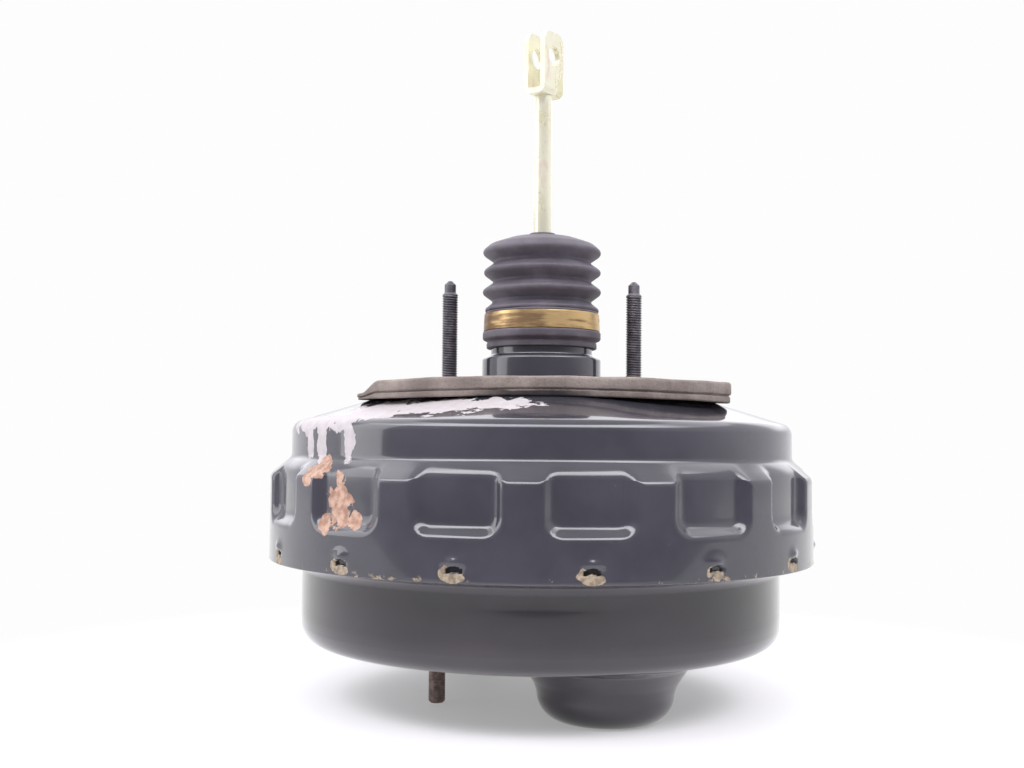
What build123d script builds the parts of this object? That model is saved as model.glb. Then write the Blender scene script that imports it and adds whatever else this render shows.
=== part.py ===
from build123d import *

import os
from math import cos, radians, sin

# Vacuum brake booster with one diaphragm. Z is the booster's own axis and +Z points along the
# pedal rod. Z = 0 is the face of the rear shell that the bulkhead gasket lies on, so the shells
# hang below it. Lengths are in millimetres and angles in degrees.

os.makedirs("parts", exist_ok=True)

# ---- Clearances ------------------------------------------------------------------------------
running = 0.05  # radial, between a sliding piece and its guide
fitted = 0.1  # radial, round a piece that stays in its bore
seat_gap = 0.3  # between pieces that move apart, where they rest on each other

# ---- Shells ----------------------------------------------------------------------------------
sheet = 1.6  # thickness of both pressings
neck_r = 25.6
neck_top_z = 43.0
neck_base_r = 30.0
neck_step_z = 22.7
pad_r = 86.0  # flat face under the gasket
shoulder_z = -11.6
ledge_z = -30.5
skirt_r = 133.8
ledge = 10.0  # step out from the upper wall to the skirt
upper_r = skirt_r - ledge
skirt_top_z = -33.0
skirt_z = -77.0
flange_z = -69.6  # underside of the front shell's flange
shelf_z = -77.8
bowl_step = 15.9  # step in from the skirt to the bowl
bowl_r = skirt_r - bowl_step
face_z = -117.0  # master-cylinder face
recess_r = 21.0
recess_depth = 12.6
rod_hole_r = 12.0
sheet_bend_r = 4.0
shoulder_bend_r = 9.0
bowl_bend_r = 9.0

# ---- Pockets and lock tabs in the skirt ------------------------------------------------------
pocket_count = 15
pocket_turn = -81.0  # angle of the first pocket's middle
pocket_depth = 4.4
pocket_width = 40.0
pocket_floor_z = -54.5
pocket_slope = 4.0  # how far a side leans over its depth
pocket_corner_r = 4.0
tab_width = 7.0
slot_height = 3.0
tab_thickness = 1.1
tab_reach = 3.0  # how far a tab leans in from the skirt

# ---- Front shell's bulge ---------------------------------------------------------------------
bulge_r = 31.5
bulge_foot_r = bulge_r - 1.5
bulge_inset = 52.6  # from the bowl's wall to the bulge's middle
bulge_turn = -62.65
bulge_x = (bowl_r - bulge_inset) * cos(radians(bulge_turn))
bulge_y = (bowl_r - bulge_inset) * sin(radians(bulge_turn))
bulge_z = -145.0
bulge_edge_r = 12.0
bulge_root_r = 5.0

# ---- Fastening -------------------------------------------------------------------------------
stud_r = 4.0
stud_head_r = 7.0
stud_head = 3.0
stud_knurl = 0.4  # pressed-in collar over the thread's radius
knurl_r = stud_r + stud_knurl
stud_relief = 0.4  # groove at the thread's root
bulkhead_spacing = 93.4
bulkhead_stud_z = 61.5
pilot_r = 2.9
pilot_length = 6.0
stud_pad = 2.5
stud_pad_length = 24.0
stud_pad_width = 34.0
cylinder_pcd = 112.0
cylinder_turn = 29.0
cylinder_stud_z = -145.0
front_plate = 2.5
gasket_width = 172.0
gasket_corner_r = 50.0
gasket = 9.0
gasket_stud_r = 5.5

# ---- Boot ------------------------------------------------------------------------------------
boot_wall = 2.2
boot_top_z = 86.0
boot_lip_z = 27.0
crest_r = 31.0
valley_r = 24.1
fold_top_z = 75.8  # height of the highest crest
fold_pitch = 10.0
fold_count = 3
band_top_z = 44.5
band_bottom_z = 35.7
band_wall = 0.7

# ---- Valve body ------------------------------------------------------------------------------
tube_r = 19.0
tube_wall = 3.0
tube_top_z = 56.0
head_r = 36.0
head_z = -16.0
head_front_z = -46.0
head_nose_r = 31.0
disc_r = 14.0
disc_bore_z = -30.0
stem_r = 6.0
chamber_r = 11.6
chamber_z = -8.0
valve_lip = 1.8
valve_lip_z = 9.4
valve_groove_z = 5.0
port_r = 1.6
port_ring_r = 16.2
port_count = 4

port_turn = 45.0
key_wall = 2.5
key_width = 15.0
key_head = 24.0
key_reach = 36.0
key_neck_r = 4.5

# ---- Neck and front seal ---------------------------------------------------------------------
bearing_length = 7.0
lip_seal_length = 10.0
retainer_wall = 1.0
seal_depth = 4.7

# ---- Diaphragm -------------------------------------------------------------------------------
plate_wall = 1.6
plate_top_z = -9.0
plate_rim_z = -34.0
membrane = 2.0
fold_foot_z = -74.0
fold_room = 14.9  # from the plate's rim to the bowl's outside
bead_height = 6.0
nub_count = 8
clip_wall = 1.2
clip_teeth = 12

# ---- Output rod ------------------------------------------------------------------------------
reaction = 5.0
output_flange = 4.0
output_end_z = -119.0
screw_r = 2.5
screw_length = 12.0
tip_nut = 3.0
tip_z = -127.0
cup_wall = 1.2
return_r = 28.0
return_wire_r = 1.8
return_turns = 5

# ---- Control valve ---------------------------------------------------------------------------
valve_face = 2.3
valve_wall = 1.2
valve_bead = 3.0
sleeve_length = 11.0
washer = 0.9
holder_wall = 1.2
valve_wire_r = 0.5
valve_turns = 3
collar_z = 40.0
seat_wall = 1.5
rod_sway = 2.6  # room round the rod for its tilt
rod_spring_r = 10.5
rod_wire_r = 0.8
rod_spring_turns = 3
filter_z = 43.5
filter_length = 6.5
silencer_length = 3.8
ring_slots = 8

# ---- Inner travel ----------------------------------------------------------------------------
plunger_travel = 2.0
valve_travel = 0.8

# ---- Pedal rod and clevis --------------------------------------------------------------------
rod_r = 4.5
rod_neck_r = 3.4
ball_r = 5.5
ball_z = 7.2
clevis_z = 157.0
clevis_top_z = 189.0
clevis_sheet = 2.75
clevis_gap = 7.3
clevis_width = 17.5
clevis_bend_r = 3.4
ear_corner_r = 5.0
pin_hole_r = 5.1
pin_z = 177.0
pin_turn = -33.0  # direction of the clevis pin, seen from above

# ---- Check valve -----------------------------------------------------------------------------
check_ring_r = 75.0
check_turn = 117.8
check_hole_r = 9.0
spot_depth = 0.4  # pressed seat for the grommet's lip
check_bulb_r = 11.0
check_z = -144.0
nozzle_r = 5.2
nozzle_length = 24.0
check_stem_r = 6.5
check_wall = 2.0
grommet_lip = 3.5
nozzle_collar = 1.3
nozzle_groove = 0.3
nozzle_taper = 3.0
nozzle_lead = 0.8
check_wire_r = 0.4
check_turns = 3


def inset(points, radii, distance):
    """Shift an open line of points to its right, and fit its corner radii to the shift."""
    runs = [Vector(*end) - Vector(*start) for start, end in zip(points, points[1:])]
    sides = [Vector(run.Y, -run.X).normalized() for run in runs]
    moved = [Vector(*points[0]) + sides[0] * distance]
    for corner, before, after in zip(points[1:-1], sides, sides[1:]):
        moved.append(Vector(*corner) + (before + after) * (distance / (1 + before.dot(after))))
    moved.append(Vector(*points[-1]) + sides[-1] * distance)
    turns = [before.cross(after).Z for before, after in zip(runs, runs[1:])]
    bends = [max(bend + (distance if turn > 0 else -distance), 0) for bend, turn in zip(radii, turns)]
    return moved, bends


def sheet_section(points, radii, thickness):
    """Face of a wall of even thickness: a line of bends, and the same line shifted to its right."""
    inner_points, inner_radii = inset(points, radii, thickness)
    with BuildLine() as section:
        outer = FilletPolyline(*points, radius=radii)
        inner = FilletPolyline(*inner_points, radius=inner_radii)
        Line(outer @ 0, inner @ 0)
        Line(outer @ 1, inner @ 1)
    make_face(section.edges())


def filled_section(points, radii):
    """Half section of a solid of revolution whose outside is the line of bends."""
    with BuildLine() as section:
        side = FilletPolyline(*points, radius=radii)
        Polyline(side @ 0, (0, (side @ 0).Y), (0, (side @ 1).Y), side @ 1)
    make_face(section.edges())


def outline(*points):
    """Straight-sided face through the points."""
    with BuildLine() as edge:
        Polyline(*points, close=True)
    make_face(edge.edges())


def coil(radius, wire_r, bottom_z, top_z, turns, centre=(0, 0)):
    """Coil spring that just fits between two seats."""
    rise = top_z - bottom_z - 2 * wire_r
    with BuildLine(Plane((centre[0], centre[1], bottom_z + wire_r))) as path:
        Helix(pitch=rise / turns, height=rise, radius=radius)
    with BuildSketch(Plane(origin=path.line @ 0, z_dir=path.line % 0)) as wire:
        Circle(wire_r)
    sweep(wire.sketch, path=path.line, is_frenet=True)


def upright(x, y):
    """Plane through a vertical axis at x, y, with its own x along X and its own y along Z."""
    return Plane(origin=(x, y, 0), x_dir=(1, 0, 0), z_dir=(0, -1, 0))


# ---- Rear shell ------------------------------------------------------------------------------
rear_line = [
    (neck_r, neck_top_z),
    (neck_r, neck_step_z),
    (neck_base_r, neck_step_z),
    (neck_base_r, 0),
    (pad_r, 0),
    (upper_r, shoulder_z),
    (upper_r, ledge_z),
    (skirt_r, skirt_top_z),
    (skirt_r, skirt_z),
]
neck_step = neck_base_r - neck_r
rear_bends = [
    neck_step * 0.3,
    neck_step * 0.5,
    sheet * 2,
    sheet_bend_r * 3,
    shoulder_bend_r,
    sheet_bend_r,
    sheet_bend_r,
]
skirt_inner_r = skirt_r - sheet
pocket_floor_r = skirt_r - pocket_depth
pocket_mouth_r = skirt_r + pocket_depth / 2
pocket_top_z = ledge_z + 2 * sheet_bend_r
stud_spots = [(-bulkhead_spacing / 2, 0), (bulkhead_spacing / 2, 0)]
hollow_line, hollow_bends = inset(rear_line, rear_bends, sheet)
hollow_line[0] += Vector(0, sheet)  # past both ends, so that they stay open
hollow_line[-1] -= Vector(0, sheet)
tab_tip_r = skirt_inner_r - tab_reach
tab_top_z = flange_z - running
slot_z = tab_top_z - slot_height / 2


def pocket_form(grow):
    """Tapered body of one pocket on the +X side, grown inwards and sideways."""
    faces = []
    lean = pocket_slope * (pocket_mouth_r - pocket_floor_r) / pocket_depth
    for radius, out in ((pocket_floor_r, 0), (pocket_mouth_r, lean)):
        width = pocket_width - 2 * pocket_slope + 2 * (out + grow)
        bottom_z = pocket_floor_z - out - grow
        top_z = pocket_top_z + grow
        with BuildSketch(Plane.YZ.offset(radius - grow)) as face:
            with Locations((0, (bottom_z + top_z) / 2)):
                RectangleRounded(width, top_z - bottom_z, pocket_corner_r + grow)
        faces.append(face.sketch)
    loft(faces)


with BuildPart() as pocket:
    pocket_form(0)

with BuildPart() as pocket_hollow:
    pocket_form(sheet)

with BuildPart() as rear_hollow:
    with BuildSketch(Plane.XZ):
        filled_section(hollow_line, hollow_bends)
    revolve()
    with PolarLocations(0, pocket_count, start_angle=pocket_turn):
        add(pocket_hollow.part, mode=Mode.SUBTRACT)

with BuildPart() as lock_tab:
    with BuildSketch(Plane.XZ):
        outline(
            (skirt_inner_r + sheet / 4, tab_top_z - 2 * slot_height),
            (skirt_inner_r + sheet / 4, tab_top_z - slot_height),
            (tab_tip_r + tab_thickness, tab_top_z),
            (tab_tip_r, tab_top_z),
            (tab_tip_r, tab_top_z - tab_thickness),
            (skirt_inner_r - sheet / 4, tab_top_z - 1.8 * slot_height),
        )
    extrude(amount=tab_width / 2, both=True)

with BuildPart() as rear_shell:
    with BuildSketch(Plane.XZ):
        filled_section(rear_line, rear_bends)
    revolve()
    with PolarLocations(0, pocket_count, start_angle=pocket_turn):
        add(pocket.part, mode=Mode.SUBTRACT)
    add(rear_hollow.part, mode=Mode.SUBTRACT)
    with BuildSketch():
        with Locations(*stud_spots):
            Circle(knurl_r + fitted)
    extrude(amount=2 * sheet, both=True, mode=Mode.SUBTRACT)
    with PolarLocations(skirt_r, pocket_count, start_angle=pocket_turn):
        with Locations((0, 0, slot_z)):
            Box(4 * sheet, tab_width, slot_height, mode=Mode.SUBTRACT)
    with PolarLocations(0, pocket_count, start_angle=pocket_turn):
        add(lock_tab.part)

# ---- Bulkhead side ---------------------------------------------------------------------------
pad_bottom_z = -sheet - stud_pad
with BuildPart() as rear_stud_pads:
    with BuildSketch(Plane.XY.offset(pad_bottom_z)):
        with Locations(*stud_spots):
            RectangleRounded(stud_pad_length, stud_pad_width, stud_r)
            Circle(knurl_r + fitted, mode=Mode.SUBTRACT)
    extrude(amount=stud_pad)

thread_end_z = bulkhead_stud_z - pilot_length
point_r = pilot_r / 3
with BuildPart() as rear_studs:
    for x, y in stud_spots:
        with BuildSketch(upright(x, y)):
            outline(
                (0, pad_bottom_z - stud_head),
                (stud_head_r, pad_bottom_z - stud_head),
                (stud_head_r, pad_bottom_z),
                (knurl_r, pad_bottom_z),
                (knurl_r, -2 * stud_relief),
                (stud_r - stud_relief, -2 * stud_relief),
                (stud_r - stud_relief, 0),
                (stud_r, 0),
                (stud_r, thread_end_z - (stud_r - pilot_r)),
                (pilot_r, thread_end_z),
                (pilot_r, bulkhead_stud_z - (pilot_r - point_r)),
                (point_r, bulkhead_stud_z),
                (0, bulkhead_stud_z),
            )
        revolve(axis=Axis((x, y, 0), (0, 0, 1)))

with BuildPart() as mounting_gasket:
    with BuildSketch():
        RectangleRounded(gasket_width, gasket_width, gasket_corner_r)
        Circle(neck_base_r + sheet * 2 + seat_gap, mode=Mode.SUBTRACT)
        with Locations(*stud_spots):
            Circle(gasket_stud_r, mode=Mode.SUBTRACT)
    extrude(amount=gasket)

# ---- Front shell -----------------------------------------------------------------------------
recess_floor_z = face_z + recess_depth
flange_r = skirt_inner_r - seat_gap
flange_bend_r = sheet * 0.7
recess_bend_r = sheet
step_r = tab_tip_r - seat_gap - flange_bend_r
front_line = [
    (flange_r, flange_z),
    (step_r, flange_z),
    (step_r, shelf_z),
    (bowl_r, shelf_z - sheet / 2),
    (bowl_r, face_z),
    (recess_r, face_z),
    (recess_r, recess_floor_z),
    (rod_hole_r, recess_floor_z),
]
front_bends = [flange_bend_r, sheet * 1.4, sheet_bend_r + 1, bowl_bend_r, sheet * 1.8, recess_bend_r]
bulge_reach_r = bulge_r + bulge_root_r + 1.5 * sheet
bulge_line = [(bulge_reach_r, face_z), (bulge_r, face_z), (bulge_foot_r, bulge_z), (0, bulge_z)]
cylinder_studs = [
    (turn * cylinder_pcd / 2 * cos(radians(cylinder_turn)), turn * cylinder_pcd / 2 * sin(radians(cylinder_turn)))
    for turn in (-1, 1)
]
spot_r = check_hole_r + 2 * sheet + seat_gap
check_x = check_ring_r * cos(radians(check_turn))
check_y = check_ring_r * sin(radians(check_turn))

with BuildPart() as front_shell:
    with BuildSketch(Plane.XZ):
        sheet_section(front_line, front_bends, sheet)
    revolve()
    with BuildSketch(Plane.XY.offset(face_z)):
        with Locations((bulge_x, bulge_y)):
            Circle(bulge_reach_r)
        with Locations(*cylinder_studs):
            Circle(knurl_r + fitted)
        with Locations((check_x, check_y)):
            Circle(check_hole_r)
    extrude(amount=2 * sheet, both=True, mode=Mode.SUBTRACT)
    with BuildSketch(Plane.XY.offset(face_z)):
        with Locations((check_x, check_y)):
            Circle(spot_r)
    extrude(amount=spot_depth, mode=Mode.SUBTRACT)
    with BuildSketch(upright(bulge_x, bulge_y)):
        sheet_section(bulge_line, [bulge_root_r, bulge_edge_r], sheet)
    revolve(axis=Axis((bulge_x, bulge_y, 0), (0, 0, 1)))

# ---- Master-cylinder side --------------------------------------------------------------------
face_inner_z = face_z + sheet
backing_top_z = face_inner_z + front_plate
plate_hole_r = recess_r + 2 * sheet
with BuildPart() as front_stud_plate:
    with BuildSketch(Plane.XY.offset(face_inner_z)):
        with BuildLine():
            CenterArc((0, 0), plate_hole_r + 2 * stud_r, 0, 360)
            for x, y in cylinder_studs:
                CenterArc((x, y), 3 * stud_r, 0, 360)
        make_hull()
        Circle(plate_hole_r, mode=Mode.SUBTRACT)
        with Locations(*cylinder_studs):
            Circle(knurl_r + fitted, mode=Mode.SUBTRACT)
    extrude(amount=front_plate)

stud_point = stud_r / 4
with BuildPart() as front_studs:
    for x, y in cylinder_studs:
        with BuildSketch(upright(x, y)):
            outline(
                (0, backing_top_z + stud_head),
                (stud_head_r, backing_top_z + stud_head),
                (stud_head_r, backing_top_z),
                (knurl_r, backing_top_z),
                (knurl_r, face_z),
                (stud_r - stud_relief, face_z),
                (stud_r - stud_relief, face_z - 2 * stud_relief),
                (stud_r, face_z - 2 * stud_relief),
                (stud_r, cylinder_stud_z + stud_point),
                (stud_r - stud_point, cylinder_stud_z),
                (0, cylinder_stud_z),
            )
        revolve(axis=Axis((x, y, 0), (0, 0, 1)))

seal_r = recess_r - fitted
seal_top_z = recess_floor_z - fitted
output_r = 5.0
with BuildPart() as front_seal:
    with BuildSketch(Plane.XZ):
        outline(
            (output_r + 3 * running, seal_top_z - seal_depth),
            (seal_r - seal_depth, seal_top_z - seal_depth),
            (seal_r - seal_depth / 2, seal_top_z - 1.5 * seal_depth),
            (seal_r, seal_top_z - 1.5 * seal_depth),
            (seal_r, seal_top_z - recess_bend_r),
            (seal_r - recess_bend_r, seal_top_z),
            (rod_hole_r, seal_top_z),
            (output_r + 3 * running, seal_top_z - seal_depth / 2),
        )
    revolve()

# ---- Neck ------------------------------------------------------------------------------------
neck_inner_r = neck_base_r - sheet - fitted
neck_seat_z = neck_step_z - sheet - fitted
bearing_z = neck_seat_z - bearing_length
lip_seal_z = bearing_z - fitted - lip_seal_length
guide_r = tube_r + running

with BuildPart() as neck_bearing:
    with BuildSketch(Plane.XZ):
        outline(
            (guide_r, bearing_z),
            (neck_inner_r, bearing_z),
            (neck_inner_r, neck_seat_z - neck_step),
            (neck_r - fitted, neck_seat_z),
            (guide_r, neck_seat_z),
        )
    revolve()

lip_groove = lip_seal_length / 2
with BuildPart() as neck_seal:
    with BuildSketch(Plane.XZ):
        outline(
            (guide_r, lip_seal_z),
            (guide_r + 2 * sheet, lip_seal_z),
            (guide_r + 2 * sheet, lip_seal_z + lip_groove),
            (neck_inner_r - 2 * sheet, lip_seal_z + lip_groove),
            (neck_inner_r - 2 * sheet, lip_seal_z),
            (neck_inner_r, lip_seal_z),
            (neck_inner_r, bearing_z - fitted),
            (guide_r, bearing_z - fitted),
        )
    revolve()

retainer_top_z = lip_seal_z - fitted
with BuildPart() as seal_retainer:
    with BuildSketch(Plane.XZ):
        outline(
            (guide_r + 2 * sheet, retainer_top_z),
            (neck_inner_r, retainer_top_z),
            (neck_inner_r, retainer_top_z - 2 * retainer_wall),
            (neck_inner_r - retainer_wall, retainer_top_z - 2 * retainer_wall),
            (neck_inner_r - retainer_wall, retainer_top_z - retainer_wall),
            (guide_r + 2 * sheet, retainer_top_z - retainer_wall),
        )
    revolve()

# ---- Boot ------------------------------------------------------------------------------------
boot_neck_r = rod_r + fitted + boot_wall
collar_top_r = neck_r + fitted + boot_wall
collar_foot_r = collar_top_r + band_wall
collar_r = neck_r + fitted
shoulder_r = collar_top_r + band_wall
shoulder_top_z = band_top_z + boot_wall
fold_rise = fold_pitch / 2
bellows_line = [
    (boot_neck_r, boot_top_z),
    (boot_neck_r, boot_top_z - boot_wall),
    (crest_r / 2, boot_top_z - 1.3 * boot_wall),
    (crest_r * 0.9, fold_top_z + fold_rise * 0.8),
]
bellows_bends = [boot_wall / 2, crest_r / 2, boot_wall]
for fold in range(fold_count):
    crest_z = fold_top_z - fold * fold_pitch
    bellows_line += [(crest_r, crest_z), (valley_r, crest_z - fold_rise)]
    bellows_bends += [boot_wall, boot_wall / 2]
bellows_line += [(shoulder_r, shoulder_top_z), (shoulder_r, band_top_z)]
bellows_bends += [boot_wall / 2]

with BuildPart() as dust_boot:
    with BuildSketch(Plane.XZ):
        sheet_section(bellows_line, bellows_bends, boot_wall)
    revolve()
    with BuildSketch(Plane.XZ):
        outline(
            (collar_r, boot_lip_z),
            (shoulder_r - band_wall, boot_lip_z),
            (shoulder_r - band_wall, boot_lip_z + boot_wall),
            (collar_top_r - band_wall, boot_lip_z + 1.5 * boot_wall),
            (shoulder_r + band_wall, boot_lip_z + 2 * boot_wall),
            (shoulder_r + band_wall, band_bottom_z - fitted),
            (collar_foot_r, band_bottom_z - fitted),
            (collar_top_r, band_top_z + fitted),
            (shoulder_r, band_top_z + fitted),
            (shoulder_r, neck_top_z + boot_wall),
            (collar_r, neck_top_z + boot_wall),
        )
    revolve()

with BuildPart() as boot_band:
    with BuildSketch(Plane.XZ):
        outline(
            (collar_foot_r + running, band_bottom_z),
            (collar_foot_r + running + band_wall, band_bottom_z),
            (collar_top_r + running + band_wall, band_top_z),
            (collar_top_r + running, band_top_z),
        )
    revolve()

# ---- Valve body ------------------------------------------------------------------------------
tube_bore_r = tube_r - tube_wall
groove_r = chamber_r + valve_lip
key_top_z = -sheet - seat_gap
key_bottom_z = key_top_z - key_wall
slot_bottom_z = key_bottom_z - running
disc_bore_r = disc_r + fitted

with BuildPart() as valve_body:
    with BuildSketch(Plane.XZ):
        outline(
            (disc_bore_r, head_front_z),
            (head_nose_r, head_front_z),
            (head_nose_r, (head_z + head_front_z) / 2),
            (head_r, (head_z + head_front_z) / 2 + head_r - head_nose_r),
            (head_r, head_z),
            (tube_r, head_z),
            (tube_r, tube_top_z),
            (tube_bore_r, tube_top_z),
            (tube_bore_r, valve_groove_z),
            (groove_r, valve_groove_z),
            (groove_r, valve_lip_z),
            (chamber_r, valve_lip_z),
            (chamber_r, chamber_z),
            (stem_r + running, chamber_z),
            (stem_r + running, disc_bore_z),
            (disc_bore_r, disc_bore_z),
        )
    revolve()
    with BuildSketch(Plane.XY.offset(head_front_z)):
        with PolarLocations(port_ring_r, port_count, start_angle=port_turn):
            Circle(port_r)
    extrude(amount=valve_groove_z - head_front_z, mode=Mode.SUBTRACT)
    with BuildSketch(Plane.XY.offset(slot_bottom_z)):
        Rectangle(key_width + 4 * running, 4 * tube_r)
    extrude(amount=key_wall + 2 * running, mode=Mode.SUBTRACT)

with BuildPart() as stop_key:
    with BuildSketch(Plane.XY.offset(key_bottom_z)):
        with Locations((0, (key_reach - tube_r) / 2)):
            Rectangle(key_width, key_reach + tube_r)
        with Locations((0, key_reach)):
            Rectangle(key_head, 2 * key_wall)
        Circle(key_neck_r + 2 * running, mode=Mode.SUBTRACT)
        with Locations((0, -tube_r)):
            Rectangle(2 * (key_neck_r + 2 * running), 2 * tube_r, mode=Mode.SUBTRACT)
    extrude(amount=key_wall)

# ---- Diaphragm and its plate -----------------------------------------------------------------
plate_hub_z = head_z + plate_wall
plate_rim_r = bowl_r - fold_room
plate_top_r = 0.6 * plate_rim_r
plate_line = [
    (tube_r + fitted, plate_hub_z),
    (head_r + plate_wall, plate_hub_z),
    (plate_top_r, plate_top_z),
    (plate_rim_r, plate_top_z),
    (plate_rim_r, plate_rim_z),
]
plate_bends = [4 * plate_wall, 4 * plate_wall, 5 * plate_wall]
with BuildPart() as diaphragm_plate:
    with BuildSketch(Plane.XZ):
        sheet_section(plate_line, plate_bends, plate_wall)
    revolve()

bead_top_z = flange_z + sheet + fitted + bead_height
fold_out_r = bowl_r - sheet - seat_gap
fold_in_r = plate_rim_r + membrane + fitted
fold_bend = (fold_out_r - fold_in_r) / 2 - running - membrane
over_plate = plate_line[:-1] + [(plate_rim_r, fold_foot_z)]
membrane_line, membrane_bends = inset(over_plate, plate_bends, -membrane - fitted)
membrane_line += [
    Vector(fold_out_r, fold_foot_z),
    Vector(fold_out_r, bead_top_z - membrane),
    Vector(step_r, bead_top_z - membrane),
]
membrane_bends += [fold_bend, fold_bend, membrane / 2]
nub_z = -sheet - seat_gap
nub_foot_z = plate_top_z + fitted + membrane / 2
with BuildPart() as diaphragm:
    with BuildSketch(Plane.XZ):
        sheet_section(membrane_line, membrane_bends, membrane)
    revolve()
    with BuildSketch(Plane.XZ):
        outline(
            (fold_out_r, bead_top_z - bead_height),
            (flange_r, bead_top_z - bead_height),
            (flange_r, bead_top_z),
            (fold_out_r, bead_top_z),
        )
    revolve()
    with BuildSketch(Plane.XZ):
        outline(
            (tube_r + fitted, plate_hub_z + fitted),
            (head_r / 1.4, plate_hub_z + fitted),
            (head_r / 1.4, plate_hub_z + fitted + 2 * membrane),
            (tube_r + fitted, plate_hub_z + fitted + 2 * membrane),
        )
    revolve()
    with BuildSketch(Plane.XY.offset(nub_foot_z)):
        with PolarLocations((plate_top_r + pad_r) / 2, nub_count):
            Circle(2 * membrane)
    extrude(amount=nub_z - nub_foot_z)

clip_z = plate_hub_z + 2 * fitted + 2 * membrane
with BuildPart() as diaphragm_clip:
    with BuildSketch(Plane.XY.offset(clip_z)):
        Circle(head_r / 1.5)
        Circle(tube_r + running, mode=Mode.SUBTRACT)
        with PolarLocations(head_r / 1.5, clip_teeth):
            SlotOverall(3 * plate_wall, plate_wall, mode=Mode.SUBTRACT)
    extrude(amount=clip_wall)

# ---- Output side of the valve body -----------------------------------------------------------
reaction_z = disc_bore_z - fitted - reaction
flange_top_z = reaction_z - fitted
flange_bottom_z = flange_top_z - output_flange
with BuildPart() as reaction_disc:
    with BuildSketch(Plane.XY.offset(reaction_z)):
        Circle(disc_r)
    extrude(amount=reaction)

with BuildPart() as output_rod:
    with BuildSketch(Plane.XY.offset(flange_bottom_z)):
        Circle(disc_r)
    extrude(amount=output_flange)
    with BuildSketch(Plane.XY.offset(output_end_z)):
        Circle(output_r)
    extrude(amount=flange_bottom_z - output_end_z)
    with BuildSketch(Plane.XY.offset(output_end_z)):
        Circle(screw_r + running)
    extrude(amount=screw_length, mode=Mode.SUBTRACT)

tip_nut_z = output_end_z - tip_nut
with BuildPart() as output_rod_tip:
    with BuildSketch(Plane.XY.offset(output_end_z)):
        Circle(screw_r)
    extrude(amount=screw_length - running)
    with BuildSketch(Plane.XY.offset(tip_nut_z)):
        RegularPolygon(output_r, 6)
    extrude(amount=tip_nut)
    with BuildSketch(Plane.XY.offset(tip_z)):
        Circle(0.8 * output_r)
    extrude(amount=tip_nut_z - tip_z)
    fillet(output_rod_tip.edges().sort_by(Axis.Z)[0], 0.4 * output_r)

cup_z = head_front_z - cup_wall
with BuildPart() as output_rod_retainer:
    with BuildSketch(Plane.XZ):
        outline(
            (disc_r - cup_wall, flange_bottom_z - fitted),
            (disc_r, flange_bottom_z - fitted),
            (disc_r, head_front_z),
            (head_nose_r, head_front_z),
            (head_nose_r, cup_z),
            (disc_r - cup_wall, cup_z),
        )
    revolve()
    with BuildSketch(Plane.XY.offset(cup_z)):
        with PolarLocations(port_ring_r, port_count, start_angle=port_turn):
            Circle(port_r + fitted)
    extrude(amount=cup_wall, mode=Mode.SUBTRACT)

with BuildPart() as return_spring:
    coil(return_r, return_wire_r, backing_top_z + fitted, cup_z - fitted, return_turns)

# ---- Control valve ---------------------------------------------------------------------------
face_bottom_z = valve_lip_z + valve_travel + fitted
face_top_z = face_bottom_z + valve_face
sleeve_r = groove_r + valve_wall
bead_z = face_top_z + sleeve_length
valve_top_z = bead_z + valve_bead
bore_fit_r = tube_bore_r - fitted
valve_hole_r = rod_r + 2.7
with BuildPart() as control_valve:
    with BuildSketch(Plane.XZ):
        outline(
            (valve_hole_r, face_bottom_z),
            (sleeve_r, face_bottom_z),
            (sleeve_r, bead_z),
            (bore_fit_r, bead_z),
            (bore_fit_r, valve_top_z),
            (sleeve_r - valve_wall, valve_top_z),
            (sleeve_r - valve_wall, face_top_z),
            (valve_hole_r, face_top_z),
        )
    revolve()

washer_r = sleeve_r - valve_wall - fitted
with BuildPart() as control_valve_washer:
    with BuildSketch(Plane.XY.offset(face_top_z)):
        Circle(washer_r)
        Circle(valve_hole_r + fitted, mode=Mode.SUBTRACT)
    extrude(amount=washer)

holder_r = washer_r - fitted
holder_z = valve_top_z + seat_gap
holder_top_z = holder_z + holder_wall
with BuildPart() as control_valve_retainer:
    with BuildSketch(Plane.XZ):
        outline(
            (holder_r - holder_wall, holder_z - sleeve_length / 2),
            (holder_r, holder_z - sleeve_length / 2),
            (holder_r, holder_z),
            (bore_fit_r, holder_z),
            (bore_fit_r, holder_top_z),
            (valve_hole_r + holder_wall, holder_top_z),
            (valve_hole_r + holder_wall, holder_z),
            (holder_r - holder_wall, holder_z),
        )
    revolve()

valve_spring_r = holder_r - holder_wall - valve_wire_r - 3 * fitted
with BuildPart() as valve_spring:
    coil(valve_spring_r, valve_wire_r, face_top_z + washer + fitted, holder_z - fitted, valve_turns)

seat_z = collar_z - fitted - seat_wall
seat_r = tube_bore_r - rod_sway
with BuildPart() as rod_return_spring:
    coil(rod_spring_r, rod_wire_r, holder_top_z + fitted, seat_z - fitted, rod_spring_turns)

with BuildPart() as spring_seat:
    with BuildSketch(Plane.XZ):
        outline(
            (rod_r + fitted, seat_z),
            (rod_spring_r - rod_wire_r - fitted, seat_z),
            (rod_spring_r - rod_wire_r - fitted, seat_z - seat_wall),
            (rod_spring_r - rod_wire_r - fitted - seat_wall, seat_z - seat_wall),
            (rod_r + fitted + seat_wall, seat_z - running),
            (rod_r + fitted, seat_z - running),
        )
    revolve()
    with BuildSketch(Plane.XY.offset(seat_z)):
        Circle(seat_r)
        Circle(rod_r + fitted, mode=Mode.SUBTRACT)
    extrude(amount=seat_wall)

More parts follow.
